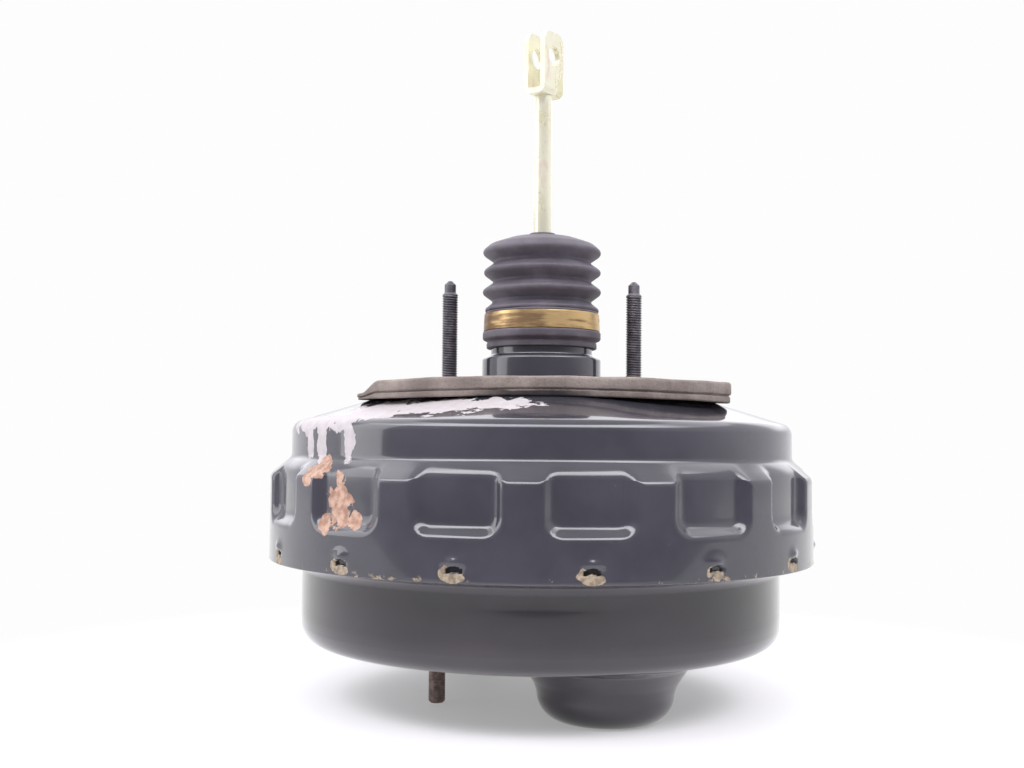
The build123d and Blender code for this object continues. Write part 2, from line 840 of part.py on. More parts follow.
filter_hole_r = rod_r + rod_sway + seat_gap
silencer_z = filter_z + filter_length + fitted
ring_z = silencer_z + silencer_length + fitted
with BuildPart() as air_filter:
    with BuildSketch(Plane.XY.offset(filter_z)):
        Circle(bore_fit_r)
        Circle(filter_hole_r, mode=Mode.SUBTRACT)
    extrude(amount=filter_length)

with BuildPart() as silencer:
    with BuildSketch(Plane.XY.offset(silencer_z)):
        Circle(bore_fit_r)
        Circle(filter_hole_r, mode=Mode.SUBTRACT)
    extrude(amount=silencer_length)

with BuildPart() as filter_retainer:
    with BuildSketch(Plane.XY.offset(ring_z)):
        Circle(bore_fit_r)
        Circle(filter_hole_r + holder_wall, mode=Mode.SUBTRACT)
        with PolarLocations((filter_hole_r + bore_fit_r) / 2, ring_slots):
            Circle((bore_fit_r - filter_hole_r) / 5, mode=Mode.SUBTRACT)
    extrude(amount=holder_wall)

# ---- Plunger and pedal rod -------------------------------------------------------------------
socket_r = ball_r + running
cup_r = chamber_r - 2 * valve_lip / 1.6
plunger_top_z = face_bottom_z - fitted
plunger_z = disc_bore_z + plunger_travel + 2 * seat_gap
groove_bottom_z = key_bottom_z - seat_gap
groove_top_z = key_top_z + plunger_travel + seat_gap
with BuildPart() as valve_plunger:
    with BuildSketch(Plane.XZ):
        outline(
            (0, plunger_z),
            (stem_r, plunger_z),
            (stem_r, groove_bottom_z),
            (key_neck_r, groove_bottom_z),
            (key_neck_r, groove_top_z),
            (cup_r, groove_top_z),
            (cup_r, plunger_top_z),
            (0, plunger_top_z),
        )
    revolve()
    with Locations((0, 0, ball_z)):
        Sphere(socket_r, mode=Mode.SUBTRACT)

rivet_head_r = clevis_gap / 2 - (clevis_bend_r - clevis_sheet) - running
rivet_r = 0.8 * rivet_head_r
base_top_z = clevis_z + clevis_sheet
with BuildPart() as pedal_rod:
    with Locations((0, 0, ball_z)):
        Sphere(ball_r)
    with BuildSketch(Plane.XZ):
        outline(
            (0, ball_z),
            (rod_neck_r, ball_z),
            (rod_neck_r, ball_z + 2 * ball_r),
            (rod_r, ball_z + 2 * ball_r + rod_r - rod_neck_r),
            (rod_r, collar_z),
            (1.4 * rod_r, collar_z),
            (1.4 * rod_r, collar_z + seat_wall),
            (rod_r, collar_z + seat_wall),
            (rod_r, clevis_z),
            (rivet_r, clevis_z),
            (rivet_r, base_top_z),
            (rivet_head_r, base_top_z),
            (rivet_r, base_top_z + rivet_r / 2),
            (0, base_top_z + rivet_r / 2),
        )
    revolve()

# ---- Clevis ----------------------------------------------------------------------------------
pin_dir = (cos(radians(pin_turn)), sin(radians(pin_turn)), 0)
ear_dir = (sin(radians(pin_turn)), -cos(radians(pin_turn)), 0)
clevis_half = clevis_gap / 2 + clevis_sheet
ear_height = clevis_top_z - clevis_z
with BuildPart() as clevis:
    with BuildSketch(Plane(origin=(0, 0, clevis_z), x_dir=pin_dir, z_dir=ear_dir)):
        sheet_section(
            [(clevis_half, ear_height), (clevis_half, 0), (-clevis_half, 0), (-clevis_half, ear_height)],
            [clevis_bend_r, clevis_bend_r],
            clevis_sheet,
        )
    extrude(amount=clevis_width / 2, both=True)
    fillet(clevis.edges().filter_by(Axis((0, 0, 0), pin_dir)).group_by(Axis.Z)[-1], ear_corner_r)
    with BuildSketch(Plane(origin=(0, 0, pin_z), x_dir=ear_dir, z_dir=pin_dir)):
        Circle(pin_hole_r)
    extrude(amount=2 * clevis_half, both=True, mode=Mode.SUBTRACT)
    with BuildSketch(Plane.XY.offset(clevis_z)):
        Circle(rivet_r + running)
    extrude(amount=clevis_sheet, mode=Mode.SUBTRACT)

# ---- Check valve -----------------------------------------------------------------------------
check_axis = Axis((check_x, check_y, 0), (0, 0, 1))
check_plane = upright(check_x, check_y)
lip_out_r = check_hole_r + 2 * sheet
with BuildPart() as check_valve_grommet:
    with BuildSketch(check_plane):
        outline(
            (check_stem_r + fitted, face_inner_z + grommet_lip),
            (check_hole_r + sheet, face_inner_z + fitted),
            (check_hole_r - fitted, face_inner_z + fitted),
            (check_hole_r - fitted, face_z + spot_depth - fitted),
            (lip_out_r, face_z + spot_depth - fitted),
            (lip_out_r, face_z - grommet_lip),
            (check_stem_r + fitted, face_z - grommet_lip),
        )
    revolve(axis=check_axis)

bulb_top_z = face_z - grommet_lip - fitted
bulb_roof_z = bulb_top_z - check_wall
bulb_floor_z = check_z + check_wall
check_bore_r = check_stem_r - check_wall
nozzle_z = (bulb_floor_z + bulb_top_z) / 2
nozzle_dir = (cos(radians(check_turn)), sin(radians(check_turn)), 0)
nozzle_plane = Plane(origin=(check_x, check_y, nozzle_z), z_dir=nozzle_dir)
nozzle_stop = check_bulb_r + check_wall
nozzle_end = check_bulb_r + nozzle_length
with BuildPart() as check_valve_body:
    with BuildSketch(check_plane):
        outline(
            (0, check_z),
            (check_bulb_r - check_wall, check_z),
            (check_bulb_r, check_z + check_wall),
            (check_bulb_r, bulb_top_z),
            (check_stem_r, bulb_top_z),
            (check_stem_r, face_inner_z + grommet_lip + check_wall),
            (0, face_inner_z + grommet_lip + check_wall),
        )
    revolve(axis=check_axis)
    with BuildSketch(nozzle_plane):
        Circle(nozzle_r + nozzle_collar)
    extrude(amount=nozzle_stop)
    with BuildSketch(nozzle_plane):
        Circle(nozzle_r - nozzle_groove)
    extrude(amount=nozzle_end - nozzle_taper)
    with BuildSketch(nozzle_plane.offset(nozzle_stop + 2 * nozzle_groove)):
        Circle(nozzle_r)
    extrude(amount=nozzle_end - nozzle_taper - nozzle_stop - 2 * nozzle_groove)
    with BuildSketch(nozzle_plane.offset(nozzle_end - nozzle_taper)):
        Circle(nozzle_r)
    with BuildSketch(nozzle_plane.offset(nozzle_end)):
        Circle(nozzle_r - nozzle_lead)
    loft()
    with BuildSketch(check_plane):
        outline(
            (0, bulb_floor_z),
            (check_bulb_r - check_wall, bulb_floor_z),
            (check_bulb_r - check_wall, bulb_roof_z),
            (check_bore_r, bulb_roof_z),
            (check_bore_r, face_z + 4 * sheet),
            (0, face_z + 4 * sheet),
        )
    revolve(axis=check_axis, mode=Mode.SUBTRACT)
    with BuildSketch(nozzle_plane):
        Circle(nozzle_r - check_wall)
    extrude(amount=nozzle_end, mode=Mode.SUBTRACT)

disc_top_z = bulb_roof_z - fitted
with BuildPart() as check_valve_disc:
    with BuildSketch(check_plane):
        outline(
            (0, disc_top_z),
            (check_bore_r + check_wall, disc_top_z),
            (check_bore_r + check_wall, disc_top_z - check_wall),
            (0, disc_top_z - check_wall),
        )
    revolve(axis=check_axis)

with BuildPart() as check_valve_spring:
    coil(
        check_bore_r,
        check_wire_r,
        bulb_floor_z + fitted,
        disc_top_z - check_wall - fitted,
        check_turns,
        (check_x, check_y),
    )

# ---- Files -----------------------------------------------------------------------------------
pieces = {
    "rear_shell": rear_shell,
    "front_shell": front_shell,
    "rear_studs": rear_studs,
    "rear_stud_pads": rear_stud_pads,
    "front_studs": front_studs,
    "front_stud_plate": front_stud_plate,
    "mounting_gasket": mounting_gasket,
    "dust_boot": dust_boot,
    "boot_band": boot_band,
    "neck_bearing": neck_bearing,
    "neck_seal": neck_seal,
    "seal_retainer": seal_retainer,
    "front_seal": front_seal,
    "check_valve_grommet": check_valve_grommet,
    "check_valve_body": check_valve_body,
    "check_valve_disc": check_valve_disc,
    "check_valve_spring": check_valve_spring,
    "diaphragm": diaphragm,
    "diaphragm_plate": diaphragm_plate,
    "diaphragm_clip": diaphragm_clip,
    "valve_body": valve_body,
    "reaction_disc": reaction_disc,
    "output_rod": output_rod,
    "output_rod_tip": output_rod_tip,
    "output_rod_retainer": output_rod_retainer,
    "return_spring": return_spring,
    "control_valve": control_valve,
    "control_valve_washer": control_valve_washer,
    "control_valve_retainer": control_valve_retainer,
    "valve_spring": valve_spring,
    "rod_return_spring": rod_return_spring,
    "spring_seat": spring_seat,
    "air_filter": air_filter,
    "silencer": silencer,
    "filter_retainer": filter_retainer,
    "stop_key": stop_key,
    "valve_plunger": valve_plunger,
    "pedal_rod": pedal_rod,
    "clevis": clevis,
}
for name, piece in pieces.items():
    piece.part.label = name
    export_step(piece.part, f"parts/{name}.step")
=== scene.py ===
"""Looks of the vacuum brake booster: its pieces, materials, stage, light and camera.

Lengths are in millimetres, and finish_piece scales each piece to metres. A corner of a turned
section is (radius, height, bend radius).
"""

import math

import bmesh
import bpy
import numpy as np
from mathutils import Matrix, Vector, noise


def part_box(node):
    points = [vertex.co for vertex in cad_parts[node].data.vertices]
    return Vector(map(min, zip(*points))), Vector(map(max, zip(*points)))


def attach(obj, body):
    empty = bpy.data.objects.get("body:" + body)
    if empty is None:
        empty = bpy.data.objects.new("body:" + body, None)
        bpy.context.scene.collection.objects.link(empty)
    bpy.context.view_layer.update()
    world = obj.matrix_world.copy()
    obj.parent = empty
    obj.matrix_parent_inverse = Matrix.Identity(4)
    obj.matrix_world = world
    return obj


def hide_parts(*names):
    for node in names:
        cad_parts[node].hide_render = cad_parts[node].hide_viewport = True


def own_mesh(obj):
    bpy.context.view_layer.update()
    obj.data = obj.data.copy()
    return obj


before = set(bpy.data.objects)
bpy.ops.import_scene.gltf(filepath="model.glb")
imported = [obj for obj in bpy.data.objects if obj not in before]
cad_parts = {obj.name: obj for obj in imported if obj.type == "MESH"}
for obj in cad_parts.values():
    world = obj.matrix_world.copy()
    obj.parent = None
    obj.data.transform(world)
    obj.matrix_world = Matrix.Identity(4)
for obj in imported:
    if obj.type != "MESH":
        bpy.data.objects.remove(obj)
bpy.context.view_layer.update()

MM = 0.001
TURN = 2 * math.pi


def low(name, axis=2):
    """Lowest coordinate of a CAD node, in mm."""
    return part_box(name)[0][axis] / MM


def high(name, axis=2):
    """Highest coordinate of a CAD node, in mm."""
    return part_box(name)[1][axis] / MM


# Sizes that the frame gives
SKIRT_R, SKIRT_Z = high("rear_shell", axis=0), low("rear_shell")
NECK_TOP = high("rear_shell")
FLOOR_Z = low("front_shell")
GASKET_TOP, GASKET_HALF = high("mounting_gasket"), high("mounting_gasket", axis=0)
BOOT_TOP, BOOT_LIP = high("dust_boot"), low("dust_boot")
BAND_LOW, BAND_HIGH = low("boot_band"), high("boot_band")
STUD_TOP, STUD_FOOT = high("rear_studs"), low("rear_studs")
FRONT_STUD_LOW, FRONT_STUD_TOP = low("front_studs"), high("front_studs")
ROD_TOP, ROD_LOW = high("pedal_rod"), low("pedal_rod")
CLEVIS_LOW = low("clevis")

# Rear pressing: thickness, neck, flat pad, shoulder and the ledge above the skirt
SHEET = 1.6
NECK_R, NECK_BASE_R, NECK_STEP_Z = 25.6, 30.0, 22.7
PAD_R = 86.0
UPPER_R = 123.8
SHOULDER_Z, LEDGE_Z, SKIRT_TOP_Z = -11.6, -27.8, -36.3

# Pockets pressed into the skirt
POCKETS = 15
POCKET_STEP = TURN / POCKETS
POCKET_TURN = math.radians(-81)  # angle of the first pocket's middle
POCKET_DEPTH = 4.4
POCKET_HALF = 16.0  # half width of a pocket's floor
POCKET_FLOOR_Z = -54.5  # lower end of a pocket's floor
POCKET_CORNER = 4.0
POCKET_LEAN = 4.0  # run of a pocket's side wall
POCKET_BEND = 0.6  # bend between floor and side wall
POCKET_RIM = 1.0  # bend between side wall and skirt

# Lock slots under the pockets, each with a bump above it
SLOT_Z, SLOT_HALF = -71.2, 3.0
SLOT_HALF_HEIGHT = 1.05
SLOT_SAG = 0.9  # how far the slot's ends hang below its middle
SLOT_DEPTH = 3.4
BUMP_RISE, BUMP_HALF = 1.2, 3.2
BUMP_ABOVE, BUMP_HALF_HEIGHT = 2.8, 2.0

# Front pressing: flange, cove, face, recess for the master cylinder, and bulge
BOWL_R, STEP_R = 117.9, 127.8
FLANGE_Z, SHELF_Z, FACE_Z = -70.0, -77.8, -117.0
RECESS_R, RECESS_Z, ROD_HOLE_R = 21.0, -104.4, 12.0
BULGE_AT, BULGE_R, BULGE_FOOT_R = (30.0, -58.0), 31.5, 30.0

# Studs, M8
STUD_R, KNURL_R, STUD_RELIEF = 4.0, 4.4, 0.4
STUD_HEAD_R, STUD_HEAD = 7, 3
STUD_X = 46.7
CYLINDER_STUD_R, CYLINDER_STUD_TURN = 56.0, math.radians(29)
PITCH = 1.25
THREAD_DEPTH, WORN_THREAD_DEPTH = 0.6, 0.12

# Boot: the bellows stand on the collar, and the piston folds them up
BOOT_SHOULDER_Z = 46.0
CREST_R, ROOT_R, FOLD = 31.2, 24.2, 5
INNER_CREST_R, INNER_ROOT_R = 28.6, 22.2
CREST_Z = [75.8, 65.8, 55.8]
BOOT_HOLE_R = 8.6


# ---- Shapes ----------------------------------------------------------------------------------
def section(corners, closed=False, segments=6):
    """Wire section of corners (radius, height, bend radius), with its bends rounded."""
    shape = bmesh.new()
    spots = [shape.verts.new((radius, 0, height)) for radius, height, _ in corners]
    places = [spot.co.copy() for spot in spots]
    for start, end in zip(spots, spots[1:]):
        shape.edges.new((start, end))
    if closed:
        shape.edges.new((spots[-1], spots[0]))
    inner = range(len(corners)) if closed else range(1, len(corners) - 1)
    for i in inner:
        bend = corners[i][2]
        if bend:
            before, after = places[i - 1], places[(i + 1) % len(places)]
            half = (before - places[i]).angle(after - places[i]) / 2
            bmesh.ops.bevel(
                shape, geom=[spots[i]], offset=bend / math.tan(half), offset_type="OFFSET",
                segments=segments, profile=0.5, affect="VERTICES", material=-1,
            )
    return shape


def cut_runs(shape, spacing):
    """Halves the section's edges until none is longer than the spacing at its middle."""
    queue = list(shape.edges)
    while queue:
        edge = queue.pop()
        first, second = edge.verts
        if (first.co - second.co).length > spacing((first.co + second.co) / 2):
            queue += [edge, bmesh.utils.edge_split(edge, first, 0.5)[0]]
    return shape


def spin(shape, steps, start=0.0):
    """Spins a section all the way round the upright axis, and closes its seam and poles."""
    turn = Matrix.Rotation(start, 3, "Z")
    bmesh.ops.rotate(shape, matrix=turn, verts=shape.verts)
    bmesh.ops.spin(
        shape, geom=shape.verts[:] + shape.edges[:], axis=(0, 0, 1), angle=TURN, steps=steps,
        use_merge=True,
    )
    bmesh.ops.remove_doubles(shape, verts=shape.verts, dist=0.002)
    bmesh.ops.recalc_face_normals(shape, faces=shape.faces)
    return shape


def move_points(shape, change):
    """Moves the points. change takes and gives their radius and height, by the angle too."""
    spots = np.array([vert.co for vert in shape.verts])
    turn = np.arctan2(spots[:, 1], spots[:, 0])
    radius, height = change(np.hypot(spots[:, 0], spots[:, 1]), turn, spots[:, 2])
    moved = np.stack([radius * np.cos(turn), radius * np.sin(turn), height], axis=1)
    for vert, spot in zip(shape.verts, moved):
        vert.co = spot
    return shape


def finish_piece(name, shape, body, material, slot, *nodes, at=(0, 0)):
    """Makes the object in metres, riding on its body. nodes are the CAD nodes it replaces."""
    bmesh.ops.translate(shape, vec=(*at, 0), verts=shape.verts)
    bmesh.ops.scale(shape, vec=(MM, MM, MM), verts=shape.verts)
    mesh = bpy.data.meshes.new(name)
    shape.to_mesh(mesh)
    shape.free()
    mesh.shade_smooth()
    mesh.materials.append(material)
    piece = bpy.data.objects.new(name, mesh)
    bpy.context.scene.collection.objects.link(piece)
    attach(piece, body)
    if nodes:
        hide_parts(*nodes)
    return piece


def smooth_step(x, low_end, high_end):
    """0 below the low end, 1 above the high end, and a soft change between them."""
    t = np.clip((x - low_end) / (high_end - low_end), 0, 1)
    return t * t * (3 - 2 * t)


def soft_min(a, b, k):
    """Smaller of two fields, with a rounded change over the length k."""
    h = np.clip(0.5 + 0.5 * (b - a) / k, 0, 1)
    return b + (a - b) * h - k * h * (1 - h)


# ---- Material nodes --------------------------------------------------------------------------
SOFT = {"interpolation_type": "SMOOTHSTEP"}
BLEND = {"data_type": "RGBA", "out": 2}  # its sockets 0, 6 and 7 are the share and two colours


def colour(code):
    """Linear colour of an sRGB code such as #808080."""
    parts = [int(code[i : i + 2], 16) / 255 for i in (1, 3, 5)]
    return (*(c / 12.92 if c <= 0.04045 else ((c + 0.055) / 1.055) ** 2.4 for c in parts), 1.0)


def feed(tree, socket, value):
    """Links another node's output to a socket, or sets the socket's own value."""
    if isinstance(value, bpy.types.NodeSocket):
        tree.links.new(value, socket)
    else:
        socket.default_value = value


def node(tree, kind, *values, out=0, **settings):
    """Adds one node with its settings and links, and gives one of its outputs.

    The values fill its sockets in order, or by name or number where they come as a dict.
    """
    made = tree.nodes.new("ShaderNode" + kind)
    for key, value in settings.items():
        setattr(made, key, value)
    by_key = values[0] if values and isinstance(values[0], dict) else dict(enumerate(values))
    for key, value in by_key.items():
        feed(tree, made.inputs[key], value)
    return made.outputs[out]


def new_material(name):
    """Material with a Principled shader: (material, tree, shader, object coordinates in mm)."""
    material = bpy.data.materials.new(name)
    material.use_nodes = True
    tree = material.node_tree
    shader = tree.nodes["Principled BSDF"]
    metres = node(tree, "TexCoord", out="Object")
    place = node(tree, "VectorMath", {0: metres, "Scale": 1 / MM}, operation="SCALE")
    return material, tree, shader, place


def set_shader(tree, shader, **values):
    """Sets or links the shader's sockets by name, with underscores for spaces."""
    for key, value in values.items():
        feed(tree, shader.inputs[key.replace("_", " ")], value)


def grain(tree, place, size, detail=4.0, roughness=0.55, stretch=(1, 1, 1)):
    """Random spots from 0 to 1 that are about one size, in mm, and may be stretched."""
    spread = node(tree, "Mapping", {"Vector": place, "Scale": stretch})
    inputs = {"Vector": spread, "Scale": 1 / size, "Detail": detail, "Roughness": roughness}
    return node(tree, "TexNoise", inputs, out="Fac")


def blot(tree, place, centre, size, ragged):
    """1 inside an egg-shaped patch with ragged edges, 0 outside."""
    shift = node(tree, "VectorMath", place, centre, operation="SUBTRACT")
    scaled = node(tree, "VectorMath", shift, size, operation="DIVIDE")
    reach = node(tree, "VectorMath", scaled, operation="LENGTH", out="Value")
    reach = node(tree, "Math", reach, ragged, operation="ADD")
    return node(tree, "MapRange", reach, 1.08, 0.98, **SOFT)


# ---- Materials -------------------------------------------------------------------------------
# Patches where the rear shell's paint is gone: centre and half size. The first ones lie on the
# shoulder and slope, and the narrow ones are drips below them. The wide ones on the slope next to
# the gasket are partly painted reflection: pale paint where the slope mirrors the bright
# surroundings, drawn as bare undercoat.
PRIMER_AND_REFLECTION_PATCHES = [
    ((-108, -60, -11.5), (9, 16, 6.5)),
    ((-98, -76, -10.5), (10, 16, 6.5)),
    ((-86, -87, -9), (11, 16, 6)),
    ((-74, -84, -5), (24, 24, 6)),
    ((-48, -97, -4), (26, 18, 5)),
    ((-22, -100, -2.5), (20, 14, 3.4)),
    ((-104, -70, -21), (2.0, 12, 8)),
    ((-97, -77, -20), (2.8, 12, 9)),
    ((-83, -92, -19), (2.6, 12, 9)),
]
RUST_PATCHES = [
    ((-94, -87, -30), (2.6, 12, 3.2)),
    ((-98, -84, -34), (3.6, 12, 2.6)),
    ((-102, -84, -37.5), (2.2, 12, 2.4)),
    ((-85, -97, -47), (6.2, 12, 9.5)),
    ((-92, -90, -56), (2.4, 12, 4.5)),
    ((-78, -102, -54), (3.0, 12, 4)),
]
POCKET_COUNT_START = 20.5  # half a pocket, and whole ones that keep the count positive


def any_blot(tree, place, patches, ragged):
    """1 inside any of the patches."""
    inside = 0.0
    for centre, size in patches:
        patch = blot(tree, place, centre, size, ragged)
        inside = node(tree, "Math", inside, patch, operation="MAXIMUM")
    return inside


def slot_wear(tree, place, ragged):
    """Bare metal beside and below each lock slot, found by the angle round the shell."""
    x, y, z = node(tree, "SeparateXYZ", place).node.outputs
    turn = node(tree, "Math", y, x, operation="ARCTAN2")
    first = POCKET_COUNT_START - POCKET_TURN / POCKET_STEP
    count = node(tree, "Math", turn, 1 / POCKET_STEP, first, operation="MULTIPLY_ADD")
    steps = node(tree, "Math", count, operation="FRACT")
    wide = POCKET_STEP * SKIRT_R
    across = node(tree, "Math", steps, wide, -wide / 2, operation="MULTIPLY_ADD")
    flat = node(tree, "CombineXYZ", {"X": across, "Z": z})
    at_side = blot(tree, flat, (-3.6, 0, SLOT_Z - 1.6), (2.2, 1, 2.4), ragged)
    below = blot(tree, flat, (0.6, 0, SLOT_Z - 3.4), (4.0, 1, 1.9), ragged)
    return node(tree, "Math", at_side, below, operation="MAXIMUM")


def slot_gap_shade(tree, place):
    """1 inside the lock slots, where the sheet is cut and pressed in; there the paint is made
    near black as painted shade in the gap.
    """
    x, y, z = node(tree, "SeparateXYZ", place).node.outputs
    flat = node(tree, "CombineXYZ", x, y)
    reach = node(tree, "VectorMath", flat, operation="LENGTH", out="Value")
    pressed_in = node(tree, "MapRange", reach, SKIRT_R - 0.5, SKIRT_R - 1.3, **SOFT)
    low_z, high_z = POCKET_FLOOR_Z - 12, POCKET_FLOOR_Z - 9
    under_pocket = node(tree, "MapRange", z, high_z, low_z, **SOFT)
    return node(tree, "Math", pressed_in, under_pocket, operation="MULTIPLY")


def edge_chips(tree, place):
    """Chips along the skirt's lower edge."""
    chip = 9
    z = node(tree, "SeparateXYZ", place, out="Z")
    near_edge = node(tree, "MapRange", z, SKIRT_Z + 3.2, SKIRT_Z + 1.2, **SOFT)
    chipped = node(tree, "MapRange", grain(tree, place, chip, 5, 0.7), 0.57, 0.62, **SOFT)
    return node(tree, "Math", near_edge, chipped, operation="MULTIPLY")


def two_tones(tree, place, size, dark, light):
    """Colour that changes between two tones over spots of a size."""
    share = node(tree, "MapRange", grain(tree, place, size, 6), 0.35, 0.65, **SOFT)
    return node(tree, "Mix", {0: share, 6: colour(dark), 7: colour(light)}, **BLEND)


def shell_paint(name, dark, light, worn):
    """Stoved gloss enamel on pressed steel.

    It gives an even, mirror-like skin with a faint orange peel, pale dust, and chips with a
    step at their edge. Where the skin is worn, undercoat, rust and bare steel show through.
    The pale undercoat patches on the slope are partly painted reflection, and the lock slots
    are painted near black as painted shade in their gaps.
    """
    cloud, dust, scrape, scratch, peel, haze = 40, 1.1, 9, 5, 3.5, 12
    peel_depth, paint_depth = 0.010, 0.10
    material, tree, shader, place = new_material(name)
    clouds = node(tree, "MapRange", grain(tree, place, cloud, 3), 0.3, 0.7, **SOFT)
    paint = node(tree, "Mix", {0: clouds, 6: colour(dark), 7: colour(light)}, **BLEND)
    # Real dust is finer than the render shows, so its specks are drawn coarse
    speck = node(tree, "MapRange", grain(tree, place, dust, 2), 0.76, 0.84, 0, 0.4, **SOFT)
    paint = node(tree, "Mix", {0: speck, 6: paint, 7: colour("#a5a2a6")}, **BLEND)
    ragged = grain(tree, place, scrape, 4, 0.6)
    ragged = node(tree, "MapRange", ragged, 0.2, 0.8, -0.6, 0.6, **SOFT)
    bare = node(tree, "MapRange", grain(tree, place, scratch, 6, 0.6), 0.74, 0.77, **SOFT)
    if worn:
        # Pale undercoat patches and drips; the wide ones on the slope are partly painted
        # reflection
        primer_and_reflection = any_blot(tree, place, PRIMER_AND_REFLECTION_PATCHES, ragged)
        rust = any_blot(tree, place, RUST_PATCHES, ragged)
        wear, edge = slot_wear(tree, place, ragged), edge_chips(tree, place)
        chips = node(tree, "Math", wear, edge, operation="MAXIMUM")
        share = grain(tree, place, 4, 6)
        inputs = {0: share, 6: colour("#a29c9f"), 7: colour("#cbc5c6")}
        layers = [
            (primer_and_reflection, node(tree, "Mix", inputs, **BLEND)),
            (rust, two_tones(tree, place, 3, "#96705c", "#bf9f8d")),
            (chips, two_tones(tree, place, 2, "#75685a", "#a5967f")),
            # Painted shade: the lock slots' gaps are painted near black
            (slot_gap_shade(tree, place), colour("#0c0b0d")),
        ]
        gone = node(tree, "Math", primer_and_reflection, rust, operation="MAXIMUM")
        gone = node(tree, "Math", gone, chips, operation="MAXIMUM")
        gone = node(tree, "Math", bare, gone, operation="MAXIMUM")
    else:
        gone, layers = bare, [(bare, colour("#5a504b"))]
    for inside, tone in layers:
        paint = node(tree, "Mix", {0: inside, 6: paint, 7: tone}, **BLEND)
    smooth, hazy, rougher, coat = 0.11, 0.18, 0.42, 0.8
    gloss = grain(tree, place, haze, 5)
    gloss = node(tree, "MapRange", gloss, 0.3, 0.7, smooth, hazy, **SOFT)
    inputs = {"Height": grain(tree, place, peel, 2, 0.4), "Distance": peel_depth * MM}
    peeled = node(tree, "Bump", inputs)
    skin = node(tree, "Math", 1.0, gone, operation="SUBTRACT")
    inputs = {"Height": skin, "Distance": paint_depth * MM, "Normal": peeled}
    set_shader(
        tree, shader, Base_Color=paint, Normal=node(tree, "Bump", inputs),
        Roughness=node(tree, "Math", gone, rougher, gloss, operation="MULTIPLY_ADD"),
        Coat_Weight=node(tree, "Math", gone, -coat, coat, operation="MULTIPLY_ADD"),
        Coat_Roughness=0.05, Specular_IOR_Level=0.5,
    )
    return material


def boot_rubber():
    """Moulded rubber of some age: matt and purple-grey, with paler bloom and dust in places."""
    bloom, dust, pore, pore_depth = 14, 0.8, 0.5, 0.03
    material, tree, shader, place = new_material("boot_rubber")
    bloomed = grain(tree, place, bloom, 5, 0.6)
    share = node(tree, "MapRange", bloomed, 0.35, 0.7, **SOFT)
    tone = node(tree, "Mix", {0: share, 6: colour("#504b54"), 7: colour("#67616b")}, **BLEND)
    dusty = node(tree, "MapRange", grain(tree, place, dust, 3), 0.66, 0.76, 0, 0.35, **SOFT)
    pores = {"Height": grain(tree, place, pore, 4), "Distance": pore_depth * MM}
    set_shader(
        tree, shader, Normal=node(tree, "Bump", pores), Specular_IOR_Level=0.5,
        Base_Color=node(tree, "Mix", {0: dusty, 6: tone, 7: colour("#9a959c")}, **BLEND),
        Roughness=node(tree, "MapRange", bloomed, 0.3, 0.7, 0.48, 0.62, **SOFT),
    )
    return material


def gasket_foam():
    """Old closed-cell foam: brown-grey and dusty above and pitted, with its lower layer painted
    darker as painted shade under its lifted edge, and painted shade in its pits.

    Its cells are drawn coarser than real ones, so that they show.
    """
    cell, cell_depth, stain, lump, lump_depth = 1.3, 0.12, 18, 6, 0.5
    shade_top, shade_low, wobble_width, wobble = 4.4, 3.4, 10, 2.5
    material, tree, shader, place = new_material("gasket_foam")
    stains = node(tree, "MapRange", grain(tree, place, stain, 6, 0.6), 0.3, 0.7, **SOFT)
    cells = node(tree, "TexVoronoi", {"Vector": place, "Scale": 1 / cell}, out="Distance")
    # Painted shade in the pits: darker towards #6a605c at the cells' middles, where the bump
    # sinks them
    pit_shade_share = node(tree, "MapRange", cells, 0.05, 0.4, 0.55, **SOFT)
    tone = node(tree, "Mix", {0: stains, 6: colour("#7b716c"), 7: colour("#a0958e")}, **BLEND)
    tone = node(tree, "Mix", {0: pit_shade_share, 6: colour("#6a605c"), 7: tone}, **BLEND)
    # Painted shade: the lower layer is darker where the pad's edge lifts off the shell and shade
    # falls under it
    inputs = {0: stains, 6: colour("#353033"), 7: colour("#453f40")}
    shaded_lower_tone = node(tree, "Mix", inputs, **BLEND)
    z = node(tree, "SeparateXYZ", place, out="Z")
    wobbled = grain(tree, place, wobble_width, 3)
    height = node(tree, "Math", wobbled, wobble, z, operation="MULTIPLY_ADD")
    lower = node(tree, "MapRange", height, shade_top, shade_low, **SOFT)
    reach = node(tree, "VectorMath", place, operation="LENGTH", out="Value")
    off_corners = node(tree, "MapRange", reach, 92, 86, **SOFT)
    lower = node(tree, "Math", lower, off_corners, operation="MULTIPLY")
    lumps = {"Height": grain(tree, place, lump, 5), "Distance": lump_depth * MM}
    pits = {"Height": cells, "Distance": cell_depth * MM, "Normal": node(tree, "Bump", lumps)}
    set_shader(
        tree, shader, Base_Color=node(tree, "Mix", {0: lower, 6: tone, 7: shaded_lower_tone}, **BLEND),
        Normal=node(tree, "Bump", pits), Roughness=0.9, Specular_IOR_Level=0.3,
    )
    return material


def worn_brass():
    """Rolled brass strip, tarnished brown in bands along its length, with bright places."""
    band, patch, scratch, scratch_depth = 12, 22, 1, 0.03
    material, tree, shader, place = new_material("worn_brass")
    bands = grain(tree, place, band, 4, 0.6, (0.8, 0.8, 6))
    patched = grain(tree, place, patch, 2, 0.5, (1, 1, 0.2))
    both = node(tree, "Math", bands, patched, operation="ADD")
    share = node(tree, "MapRange", both, 0.86, 1.16, **SOFT)
    inputs = {0: share, 6: colour("#8a6f52"), 7: colour("#d8b984")}
    rolled = grain(tree, place, scratch, 4, 0.6, (0.3, 0.3, 4))
    scratches = {"Height": rolled, "Distance": scratch_depth * MM}
    set_shader(
        tree, shader, Base_Color=node(tree, "Mix", inputs, **BLEND), Metallic=0.75,
        Roughness=node(tree, "MapRange", bands, 0.35, 0.7, 0.5, 0.28, **SOFT),
        Normal=node(tree, "Bump", scratches),
    )
    return material


